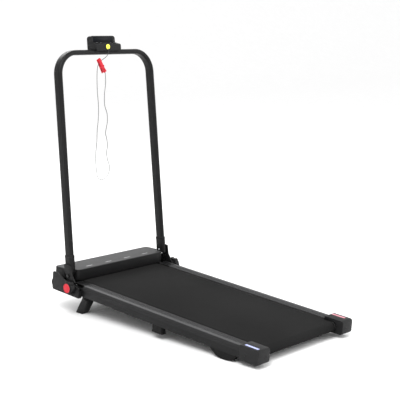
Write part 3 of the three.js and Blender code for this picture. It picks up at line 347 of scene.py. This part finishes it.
def rounded(points, radius, steps=6):
    """A closed outline with every corner rounded, as far as its sides allow."""
    out = []
    count = len(points)
    for i in range(count):
        p, a, b = (Vector(points[k % count]) for k in (i, i - 1 + count, i + 1))
        r = min(radius, (a - p).length / 2.05, (b - p).length / 2.05)
        if r < 0.05:
            out.append(tuple(p))
            continue
        start, end = p + (a - p).normalized() * r, p + (b - p).normalized() * r
        for k in range(steps + 1):
            t = k / steps
            out.append(tuple((1 - t) ** 2 * start + 2 * t * (1 - t) * p + t ** 2 * end))
    return out


def joined(*parts):
    """Several bmeshes as one."""
    whole = bmesh.new()
    for part in parts:
        part.verts.index_update()
        new = [whole.verts.new(v.co) for v in part.verts]
        for face in part.faces:
            whole.faces.new([new[v.index] for v in face.verts])
        part.free()
    return whole


def moved(bm, matrix):
    bmesh.ops.transform(bm, matrix=matrix, verts=bm.verts)
    return bm


def screw(name, at, towards, where, body, radius=4.0, height=1.8, material=None):
    """A button-head screw with a hexagon socket, standing on a face at a point."""
    bm = bmesh.new()
    profile = [(radius, 0), (radius, height * 0.25), (radius * 0.92, height * 0.55), (radius * 0.7, height * 0.88),
               (radius * 0.48, height)]
    steps = 24
    rings = [[bm.verts.new((r * math.cos(2 * math.pi * i / steps), r * math.sin(2 * math.pi * i / steps), h))
              for i in range(steps)] for r, h in profile]
    for r, h in ((radius * 0.42, height), (radius * 0.42, height * 0.3)):
        ring = []
        for i in range(steps):
            angle = 2 * math.pi * i / steps
            turn = (angle % (math.pi / 3)) - math.pi / 6
            hexed = r * math.cos(math.pi / 6) / math.cos(turn)
            ring.append(bm.verts.new((hexed * math.cos(angle), hexed * math.sin(angle), h)))
        rings.append(ring)
    for one, two in zip(rings, rings[1:]):
        band(bm, one, two)
    bm.faces.new(rings[-1])
    bm.faces.new(rings[0][::-1])
    turn = Vector(towards).normalized().to_track_quat("Z", "Y").to_matrix().to_4x4()
    moved(bm, Matrix.Translation(at) @ turn)
    return finish_mesh(bm, name, material or dark_steel, body, where=where, sharp=30)


# ---- safety cord, its clip and key ---------------------------------------------------------------
CORD_DIAMETER = 0.0024  # metres
# measured from the middle of the handrail's bar
ROUTE = [(-6, -31.9, 15.8), (-6.1, -34.2, 14.4), (-6.6, -35.0, 7.8), (-8.5, -33.4, -4.2), (-14, -30.6, -15.2),
         (-24, -28.9, -23.2)]
ROUTE += [(x, -28.6, z) for x, z in (
    (-45, -34.7), (-57, -44.7), (-65, -60.2), (-68, -80.2), (-69, -117.2), (-67, -167.2), (-62, -217.2),
    (-61, -250.2), (-64, -292.2), (-69.5, -332.2), (-72, -382.2), (-78, -427.2), (-78.5, -470.2), (-74, -505.2),
    (-67, -535.2), (-48, -546.7), (-29, -544.2), (-10, -531.2), (0, -510.2), (0.5, -490.2), (-10, -463.2),
    (-15.5, -434.2), (-11, -401.2), (-14.5, -370.2), (-21.5, -346.2), (-16.5, -322.2), (-10.5, -295.2),
    (-12.5, -260.2), (-25, -227.2), (-27, -182.2), (-21, -138.2), (-20, -110.2), (-23.1, -81.5))]


def through(points, steps=8):
    """Points along the centripetal Catmull-Rom curve through these points."""
    pts = [Vector(p) for p in points]
    pts = [2 * pts[0] - pts[1]] + pts + [2 * pts[-1] - pts[-2]]
    out = []
    for p0, p1, p2, p3 in zip(pts, pts[1:], pts[2:], pts[3:]):
        t0 = 0.0
        t1 = t0 + (p1 - p0).length ** 0.5
        t2 = t1 + (p2 - p1).length ** 0.5
        t3 = t2 + (p3 - p2).length ** 0.5
        for k in range(steps):
            t = t1 + (t2 - t1) * k / steps
            a1 = p0 * ((t1 - t) / (t1 - t0)) + p1 * ((t - t0) / (t1 - t0))
            a2 = p1 * ((t2 - t) / (t2 - t1)) + p2 * ((t - t1) / (t2 - t1))
            a3 = p2 * ((t3 - t) / (t3 - t2)) + p3 * ((t - t2) / (t3 - t2))
            b1 = a1 * ((t2 - t) / (t2 - t0)) + a2 * ((t - t0) / (t2 - t0))
            b2 = a2 * ((t3 - t) / (t3 - t1)) + a3 * ((t - t1) / (t3 - t1))
            out.append(b1 * ((t2 - t) / (t2 - t1)) + b2 * ((t - t1) / (t2 - t1)))
    out.append(pts[-2])
    return out


bar_middle = HEAD.to_translation()
line = [(point + bar_middle) * MM for point in through(ROUTE)]
curve = bpy.data.curves.new("cord_curve", "CURVE")
curve.dimensions = "3D"
spline = curve.splines.new("POLY")
spline.points.add(len(line) - 1)
for point, place in zip(spline.points, line):
    point.co = (*place, 1)
curve.bevel_depth = CORD_DIAMETER / 2
curve.bevel_resolution = 4
curve.use_fill_caps = True
cord = bpy.data.objects.new("safety_cord", curve)
bpy.context.scene.collection.objects.link(cord)
curve.materials.append(cord_braid)
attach(cord, "safety_key")
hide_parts("key_cord")

clip_back = refined("safety_clip", red, "safety_key", 0.7, 2, name="clip_back")
clip_front = refined("clip_jaw", red, "clip_jaw", 0.7, 2, name="clip_front")
grips = []
for k in range(5):
    y = -8.9 + 0.55 * k
    grips.append(prism(rounded([(y - 2.15, 3 + 3.2 * k), (y - 1.5, 3 + 3.2 * k), (y - 1.5, 4.6 + 3.2 * k),
                                (y - 2.15, 4.6 + 3.2 * k)], 0.3, 3), -6.5, 6.5))
thumb = finish_mesh(joined(*grips), "clip_thumb_ribs", red, "clip_jaw", where=CLIP, sharp=40)


# ---- handrail ------------------------------------------------------------------------------------
def handrail_rings(bend_steps=28):
    lean = POST_LEAN_IN
    foot = 3.3

    def x_at(z):
        return -POST_SPACING / 2 + (z - POST_SPACING_AT) * math.tan(lean)

    turn = math.pi / 2 - lean
    start = BAR_HEIGHT - BEND_RADIUS * math.tan(turn / 2) * math.cos(lean)
    cx, cz = x_at(start) + BEND_RADIUS * math.cos(lean), start - BEND_RADIUS * math.sin(lean)
    half = [(x_at(foot), foot, lean)]
    for i in range(bend_steps + 1):
        heading = lean + turn * i / bend_steps
        half.append((cx - BEND_RADIUS * math.cos(heading), cz + BEND_RADIUS * math.sin(heading), heading))
    return half + [(-x, z, math.pi - heading) for x, z, heading in reversed(half)]


def oval(thickness, depth, steps=14):
    radius, flat = thickness / 2, depth / 2 - thickness / 2
    points = []
    for start, centre in ((0, flat), (math.pi, -flat)):
        for i in range(steps + 1):
            angle = start + math.pi * i / steps
            points.append((radius * math.cos(angle), centre + radius * math.sin(angle)))
    return points


section = oval(POST_THICKNESS, POST_DEPTH)
bm = bmesh.new()
ring_faces(bm, [[(x + a * math.cos(h), b, z - a * math.sin(h)) for a, b in section]
                for x, z, h in handrail_rings()])
finish_mesh(bm, "handrail_bar", powder, "handrail", where=RAIL, sharp=50, replaces=("handrail_tube",))

for name, side in SIDES:
    refined("post_socket_" + name, powder, "handrail", 1.6, 3)
    # a plastic cuff closes the gap where the post enters its socket
    rings = []
    for grow, z in ((0.15, 62.0), (2.7, 62.0), (3.1, 62.8), (3.1, 70.0), (2.5, 71.2), (0.15, 71.6)):
        tilt = -side * (z - POST_SPACING_AT) * math.tan(POST_LEAN_IN)
        rings.append([(side * POST_SPACING / 2 + tilt + a, b, z)
                      for a, b in oval(POST_THICKNESS + 2 * grow, POST_DEPTH + 2 * grow)])
    bm = bmesh.new()
    closed_loop(bm, rings)
    finish_mesh(bm, "post_cuff_" + name, plastic, "handrail", where=RAIL, sharp=40)
    for z in (18.0, 44.0):
        screw(f"socket_screw_{name}_{int(z)}", (side * 270.0, -23.9, z), (0, -1, 0), RAIL, "handrail", 3.6, 1.8,
              satin)
    screw("post_pin_" + name, (side * 257.1, 0.0, 14.0), (-side, 0, 0), RAIL, "handrail", 4.2, 1.7, zinc)
    refined("fold_pivot_bolt_" + name, satin, "frame", 0.6, 2)


# ---- console -------------------------------------------------------------------------------------
refined("console_front", plastic, "handrail", 2.2, 4, sharp=28)
refined("console_back", plastic, "handrail", 3.0, 4, sharp=28)
refined("display_window", glass, "handrail", 0.5, 2)
refined("safety_key", yellow, "safety_key", 1.0, 3)
SLOPE_START, SLOPE_END = (-27.0, 33.0), (5.0, 42.0)
slope = math.atan2(SLOPE_END[1] - SLOPE_START[1], SLOPE_END[0] - SLOPE_START[0])
PANEL = (HEAD @ Matrix.Translation((0, (SLOPE_START[0] + SLOPE_END[0]) / 2, (SLOPE_START[1] + SLOPE_END[1]) / 2))
         @ Matrix.Rotation(slope, 4, "X"))


def plate(outline, z0, z1):
    """An (x, y) outline drawn up from z0 to z1."""
    bm = bmesh.new()
    ring_faces(bm, [[(x, y, z) for x, y in outline] for z in (z0, z1)])
    return bm


def bar_outline(x0, x1, y0, y1):
    return [(x0, y0), (x1, y0), (x1, y1), (x0, y1)]


ICONS = {
    "stop_button": [bar_outline(-2.0, 2.0, -2.0, 2.0)],
    "start_button": [[(-1.8, -2.4), (2.6, 0), (-1.8, 2.4)]],
    "slower_button": [bar_outline(-2.8, 2.8, -0.6, 0.6)],
    "faster_button": [[(-2.8, -0.6), (-0.6, -0.6), (-0.6, -2.8), (0.6, -2.8), (0.6, -0.6), (2.8, -0.6),
                       (2.8, 0.6), (0.6, 0.6), (0.6, 2.8), (-0.6, 2.8), (-0.6, 0.6), (-2.8, 0.6)]],
}
BUTTON_X = {"stop_button": -50, "start_button": -27, "slower_button": 27, "faster_button": 50}
for name, outlines in ICONS.items():
    bm = plate(rounded(bar_outline(-7.5, 7.5, -5.5, 5.5), 2.6), -3.8, 2.2)
    moved(bm, Matrix.Translation((BUTTON_X[name], 0, 0)))
    finish_mesh(bm, name + "_cap", satin, name, where=PANEL, bevel=0.7, replaces=(name,))
    bm = joined(*[plate(rounded(o, 0.3, 3), 2.19, 2.32) for o in outlines])
    moved(bm, Matrix.Translation((BUTTON_X[name], 0, 0)))
    finish_mesh(bm, name + "_mark", pale, name, where=PANEL, sharp=40)

# the screen's thin raised frame and the screws in the console's back
bm = bmesh.new()
outer = rounded(bar_outline(-59.5, 59.5, 41.2, 67.6), 4)
inner = rounded(bar_outline(-56.6, 56.6, 43.4, 65.6), 2)
closed_loop(bm, [[(x, y, z) for x, z in loop] for loop, y in
                 ((outer, 6.4), (outer, 5.3), (inner, 5.3), (inner, 6.4))])
finish_mesh(bm, "screen_frame", satin, "handrail", where=HEAD, sharp=40)
for k, x in enumerate((-48, 48)):
    screw(f"console_back_screw_{k}", (x, 29.0, 20.0), (0, 1, 0), HEAD, "handrail", 3.0, 1.2, satin)
    screw(f"console_upper_screw_{k}", (x, 29.0, 46.0), (0, 1, 0), HEAD, "handrail", 3.0, 1.2, satin)

# key: a finger ridge across the yellow disc
bm = prism(rounded([(-33.3, 21.6), (-32.3, 20.8), (-32.3, 25.2), (-33.3, 24.4)], 0.4, 3), -13.5, 1.5)
finish_mesh(bm, "key_finger_ridge", yellow, "safety_key", where=HEAD, bevel=0.3)

# ---- running belt --------------------------------------------------------------------------------
ROLLERS = ((50.0, -23.0), (1045.0, -23.0))
BELT_OUTSIDE, BELT_INSIDE = 19.98, 18.32  # radii round the rollers
BELT_EDGE = 217.5  # beyond this the belt's edges are eased


def belt_loop(radius, steps=40):
    (y0, z0), (y1, _) = ROLLERS
    points = [(y1 + radius * math.sin(math.pi * i / steps), z0 + radius * math.cos(math.pi * i / steps))
              for i in range(steps + 1)]
    points += [(y0 - radius * math.sin(math.pi * i / steps), z0 - radius * math.cos(math.pi * i / steps))
               for i in range(steps + 1)]
    return points


bm = bmesh.new()
across = (-218, -217.2, 217.2, 218)
shells = [[[bm.verts.new((x, y, z)) for y, z in belt_loop(radius + (eased if abs(x) > BELT_EDGE else 0))]
           for x in across] for radius, eased in ((BELT_OUTSIDE, -0.5), (BELT_INSIDE, 0.3))]
for shell in shells:
    for one, two in zip(shell, shell[1:]):
        band(bm, one, two)
for edge in (0, -1):
    band(bm, shells[0][edge], shells[1][edge])
finish_mesh(bm, "belt_loop", belt_rubber, "frame", where=DECK, sharp=40, replaces=("running_belt",))

# ---- foot rails ----------------------------------------------------------------------------------
RIBS = [234 + 3.0 * k for k in range(10)]
RAIL_ENDS = (90.3, 955.0)
TREAD_FRONT = 1018.0
RAIL_FRONT = (DECK @ Vector((0, RAIL_ENDS[1] + 0.5, 0))).y * MM  # ahead of this the tread runs by the hood


def rail_section():
    """The rail's (x, z) outline, with fine ribs on its tread."""
    top = [(230, -4.7), (230, -0.8), (230.8, 0)]
    for x in RIBS:
        top += [(x - 0.9, 0), (x - 0.6, -0.7), (x + 0.6, -0.7), (x + 0.9, 0)]
    top += [(272.6, 0), (274.2, -0.4), (285.2, -9.2), (286, -10.4), (286, -18.6), (285.6, -19), (284.3, -19),
            (284.3, -11.7), (264, -11.7), (264, -4.7)]
    return top


for name, side in SIDES:
    shape = [(side * x, z) for x, z in rail_section()]
    bm = bmesh.new()
    ring_faces(bm, [[(x, y, z) for x, z in shape] for y in RAIL_ENDS])
    tread = [(side * x, z) for x, z in rail_section() if x < 274] + [(side * 273.6, -4.7)]
    tread = [p for p in tread if p[1] > -4.75]
    second = bmesh.new()
    ring_faces(second, [[(x, y, z) for x, z in tread] for y in (RAIL_ENDS[1], TREAD_FRONT)])
    rail = finish_mesh(joined(bm, second), "tread_rail_" + name, tread_grey, "frame", where=DECK, sharp=25,
                       replaces=("foot_rail_" + name,), weld=False)
    rail.data.materials.append(tread_painted_highlight)
    rail.data.materials.append(plastic)
    # faces by the hood take the dark plastic; the upward faces of the outer band take the brighter grey as painted
    # highlight
    for polygon in rail.data.polygons:
        if polygon.center.y > RAIL_FRONT:
            polygon.material_index = 2
        elif polygon.normal.z > 0.3 and abs(polygon.center.x) > 0.2555:
            polygon.material_index = 1
    # the dark moulded flank under the bright tread
    flank = [(275.6, -1.35), (285.35, -9.15), (286, -10.2), (286.0, -18.9), (285.0, -18.9), (283.8, -11.5),
             (275.4, -4.2)]
    flank = [(side * x, z) for x, z in flank]
    bm = bmesh.new()
    ring_faces(bm, [[(x + side * 0.04, y, z + 0.04) for x, z in flank] for y in (RAIL_ENDS[0] + 0.1, RAIL_ENDS[1] - 0.1)])
    finish_mesh(bm, "rail_flank_" + name, plastic, "frame", where=DECK, sharp=25)

# ---- rear end caps -------------------------------------------------------------------------------
for name, side in SIDES:
    refined("rear_end_cap_" + name, plastic, "frame", 2.6, 4, sharp=40)
    ahead = 0 if side < 0 else 8  # the right strip sits a little further forward
    strip = rounded(bar_outline(side * 272 - 6, side * 272 + 6, 16 + ahead, 78 + ahead), 3)
    bm = plate(strip, 7.9, 8.35)
    finish_mesh(bm, "cap_strip_" + name, blue_strip if side < 0 else pink_strip, "frame", where=DECK, bevel=0.15,
                segments=2)
    # belt-adjusting screw in its sleeve, on the cap's rear face
    bm = turned([(7.2, 0.2), (7.2, -1.1), (5.2, -1.1), (5.2, 0.2)], (0, 0), 32, loop=True)
    moved(bm, Matrix.Translation((side * 247, 0.35, -23)) @ Matrix.Rotation(math.radians(90), 4, "Z"))
    finish_mesh(bm, "adjuster_sleeve_" + name, satin, "frame", where=DECK, sharp=30)
    screw("belt_adjuster_" + name, (side * 247, 0.3, -23), (0, -1, 0), DECK, "frame", 4.9, 0.3)
    screw("cap_side_screw_" + name, (side * 290, 62, -28), (side, 0, 0), DECK, "frame", 3.6, 1.4, satin)

# ---- feet and frame ------------------------------------------------------------------------------
for name, side in SIDES:
    refined("side_tube_" + name, powder, "frame", 1.6, 3)
    refined("rear_foot_" + name, rubber, "frame", 2.0, 3)
    refined("middle_foot_" + name, rubber, "frame", 2.0, 3)
    refined("incline_leg_" + name, powder, "incline_stand", 2.4, 3)
    refined("side_cover_" + name, plastic, "frame", 1.0, 3)
    # moulded arcs inside the rocker foot's outer face
    cy, cz = 170.0, 17.0
    ribs = []
    for radius, half in ((84.0, math.acos((49.3 + cz) / 84.0) * 0.97), (66.0, 0.2)):
        arcs = [[], []]
        for k in range(29):
            a = -math.pi / 2 - half + 2 * half * k / 28
            for arc, r in zip(arcs, (radius - 1.2, radius + 1.2)):
                y, z = cy + r * math.cos(a), cz + r * math.sin(a)
                arc.append((max(y, 118.5), min(z, -47.5)))
        low, high = (284, 284.9) if side > 0 else (-284.9, -284)
        ribs.append(prism(arcs[0] + arcs[1][::-1], low, high))
    finish_mesh(joined(*ribs), "rocker_ribs_" + name, rubber, "frame", where=DECK, sharp=40)
    screw("leg_pivot_cap_" + name, (side * 271, 957, -58), (side, 0, 0), DECK, "incline_stand", 6.4, 2.4, satin)
    screw("cover_screw_front_" + name, (side * 301, 1108, 8), (side, 0, 0), DECK, "frame", 3.4, 1.4, satin)
    screw("cover_screw_low_" + name, (side * 301, 1100, -38), (side, 0, 0), DECK, "frame", 3.4, 1.4, satin)
    screw("cover_screw_rear_" + name, (side * 301, 966, -36), (side, 0, 0), DECK, "frame", 3.4, 1.4, satin)


# ---- lock knobs and transport wheels -------------------------------------------------------------
def knob(side):
    """Six-lobed grip: the lobes swell from a round root towards the outer edge."""
    ly, lz = LOCK_POINT
    bm = bmesh.new()
    steps = 120
    rows = []
    for reach, lobe, x in ((15.0, 0.0, 302.0), (25.5, 1.6, 302.2), (26.6, 2.8, 303.8), (27.0, 3.0, 308.0),
                           (27.0, 3.0, 316.0), (26.4, 2.9, 319.6), (24.8, 2.4, 321.5), (22.3, 0.8, 322.0)):
        ring = []
        for i in range(steps):
            angle = 2 * math.pi * i / steps
            radius = reach + lobe * math.cos(6 * angle)
            ring.append((side * x, ly + radius * math.cos(angle), lz + radius * math.sin(angle)))
        rows.append(ring)
    ring_faces(bm, rows)
    return bm


for name, side in SIDES:
    boss = turned([(0, side * 290.4), (14.2, side * 290.4), (15, side * 291.4), (15, side * 302.5),
                   (0, side * 302.5)], LOCK_POINT, 40)
    stem = turned([(0, side * 277), (3.3, side * 277), (4, side * 278), (4, side * 291), (0, side * 291)],
                  LOCK_POINT, 24)
    finish_mesh(joined(knob(side), boss, stem), "knob_grip_" + name, plastic, "lock_knob_" + name, where=DECK,
                sharp=38, replaces=("lock_knob_" + name,), weld=False)
    cap = turned([(0, side * 322.3), (21.2, side * 322.3), (21.5, side * 322.7), (21.5, side * 324.8),
                  (21.0, side * 325.8), (19.6, side * 326.4), (18.4, side * 326.2), (17.8, side * 325.6),
                  (16.6, side * 325.5), (12, side * 326.2), (6, side * 326.9), (0, side * 327.2)], LOCK_POINT, 56)
    face = finish_mesh(cap, "knob_face_" + name, red, "lock_knob_" + name, where=DECK, sharp=50,
                       replaces=("lock_knob_cap_" + name,))
    # the red disc is set in the grip's dark rim
    face.data.materials.append(plastic)
    axis = (DECK @ Vector((0, *LOCK_POINT))) * MM
    for polygon in face.data.polygons:
        if (polygon.center - axis).yz.length > 0.0195:
            polygon.material_index = 1

    x0, x1 = 268.5, 288.5
    mid = (x0 + x1) / 2
    profile = [(4.3, x0), (9, x0), (9.5, x0 + 1.5), (16, x0 + 2), (17.5, x0 + 0.6), (21, x0), (22.8, x0 + 0.8),
               (24, x0 + 3), (24, mid - 2.2), (23.2, mid - 1.2), (23.2, mid + 1.2), (24, mid + 2.2), (24, x1 - 3),
               (22.8, x1 - 0.8), (21, x1), (17.5, x1 - 0.6), (16, x1 - 2), (9.5, x1 - 1.5), (9, x1), (4.3, x1)]
    wheel = turned([(r, side * x) for r, x in profile], WHEEL_AXIS, 56, loop=True)
    finish_mesh(wheel, "wheel_" + name, rubber, "transport_wheel_" + name, where=DECK, sharp=30,
                replaces=("transport_wheel_" + name,))
    spokes = []
    for k in range(6):
        spoke = prism(rounded(bar_outline(10.2, 16.4, -1.1, 1.1), 0.4, 3), side * (x1 - 2.4), side * (x1 - 0.8))
        moved(spoke, Matrix.Translation((0, *WHEEL_AXIS)) @ Matrix.Rotation(math.radians(60 * k + 30), 4, "X"))
        spokes.append(spoke)
    finish_mesh(joined(*spokes), "wheel_spokes_" + name, rubber, "transport_wheel_" + name, where=DECK, sharp=30)
    refined("wheel_bolt_" + name, dark_steel, "frame", 0.5, 2)

# ---- motor hood ----------------------------------------------------------------------------------
refined("hood_top", hood_grey, "frame", 1.3, 4, sharp=30)
refined("hood_shell", plastic, "frame", 1.4, 3, sharp=30)
refined("belly_pan", plastic, "frame", 1.2, 3)
refined("power_inlet", satin, "frame", 0.6, 2)
refined("power_switch", red, "power_switch", 0.8, 3)
LEVEL = DECK @ Matrix.Translation((0, 1086, 44)) @ Matrix.Rotation(-NOSE_UP, 4, "X")
for k, x in enumerate((-165, -55, 55, 165)):
    bm = plate(rounded(bar_outline(x - 17, x + 17, -38, -33.5), 2.0), -0.6, 0.14)
    finish_mesh(bm, f"hood_dash_{k}", pale, "frame", where=LEVEL, sharp=40)
# cooling slots on the hood's front face, drawn as flat dark plates: painted shade where the openings are
slots = []
for row in range(3):
    for k in range(9):
        x = -150 + 30 * k
        slot = plate(rounded(bar_outline(x, x + 22, -1.6, 1.6), 1.5, 4), 0, 0.6)
        moved(slot, Matrix.Translation((0, 1150.1, 12 + 9 * row)) @ Matrix.Rotation(math.radians(90), 4, "X"))
        slots.append(slot)
finish_mesh(joined(*slots), "cooling_slots", slot_painted_shade, "frame", where=DECK, sharp=30)
# the inlet's three contact blades
blades = []
for x, z in ((150.0, -27.0), (158.0, -27.0), (154.0, -22.0)):
    blade = plate(rounded(bar_outline(x - 0.9, x + 0.9, -1.9, 1.9), 0.4, 3), 0, 1.0)
    blades.append(moved(blade, Matrix.Translation((0, 1153.0, z)) @ Matrix.Rotation(math.radians(90), 4, "X")))
finish_mesh(joined(*blades), "inlet_blades", zinc, "frame", where=DECK, sharp=30)

# ---- pieces that keep their CAD shape ------------------------------------------------------------
KEPT = {
    "rear_cross_tube": powder, "middle_cross_tube": powder, "front_cross_tube": powder, "deck_board": wood,
    "front_roller": turned_steel, "rear_roller": turned_steel, "front_roller_axle": zinc, "rear_roller_axle": zinc,
    "motor": enamel, "motor_pulley": zinc, "drive_belt": rubber, "motor_plate": powder,
    "speed_controller": plastic, "incline_leg_tube": powder,
}
for node, material in KEPT.items():
    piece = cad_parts[node]
    piece.data.materials.clear()
    piece.data.materials.append(material)

# ---- floor, backdrop and light -------------------------------------------------------------------
bm = bmesh.new()
rows = [[(x, y, 0.0) for x in (-30, 30)] for y in (-14, 9)]
for k in range(1, 13):
    angle = math.pi / 2 * k / 12
    rows.append([(x, 9 + 5 * math.sin(angle), 5 - 5 * math.cos(angle)) for x in (-30, 30)])
rows.append([(x, 14, 22) for x in (-30, 30)])
grid = [[bm.verts.new(p) for p in row] for row in rows]
for one, two in zip(grid, grid[1:]):
    bm.faces.new((one[0], one[1], two[1], two[0]))
floor_mesh = bpy.data.meshes.new("studio_floor")
bm.to_mesh(floor_mesh)
bm.free()
floor = bpy.data.objects.new("studio_floor", floor_mesh)
bpy.context.scene.collection.objects.link(floor)
floor_mesh.shade_smooth()
floor_mesh.materials.append(surface("studio_paper", (0.93, 0.93, 0.93), vary=0.01, rough=(0.85, 0.95),
                                    specular=0.1)[0])

world = bpy.data.worlds.new("studio")
bpy.context.scene.world = world
world.use_nodes = True
world.node_tree.nodes["Background"].inputs["Color"].default_value = (1, 1, 1, 1)
world.node_tree.nodes["Background"].inputs["Strength"].default_value = 1.08


def softbox(name, at, aim, size, watts):
    light = bpy.data.lights.new(name, "AREA")
    light.shape = "RECTANGLE"
    light.size, light.size_y = size
    light.energy = watts
    lamp = bpy.data.objects.new(name, light)
    bpy.context.scene.collection.objects.link(lamp)
    lamp.location = at
    lamp.rotation_mode = "QUATERNION"
    lamp.rotation_quaternion = (Vector(aim) - Vector(at)).to_track_quat("-Z", "Y")


softbox("key_light", (-2.6, -1.2, 4.2), (0, 0, 0.4), (2.6, 2.6), 170)
softbox("fill_light", (3.2, -3.6, 2.6), (0, 0, 0.5), (2.4, 2.4), 60)
softbox("back_light", (1.6, 4.2, 3.4), (0, 0.3, 0.5), (3.0, 1.6), 90)
bpy.context.scene.view_settings.view_transform = "Standard"
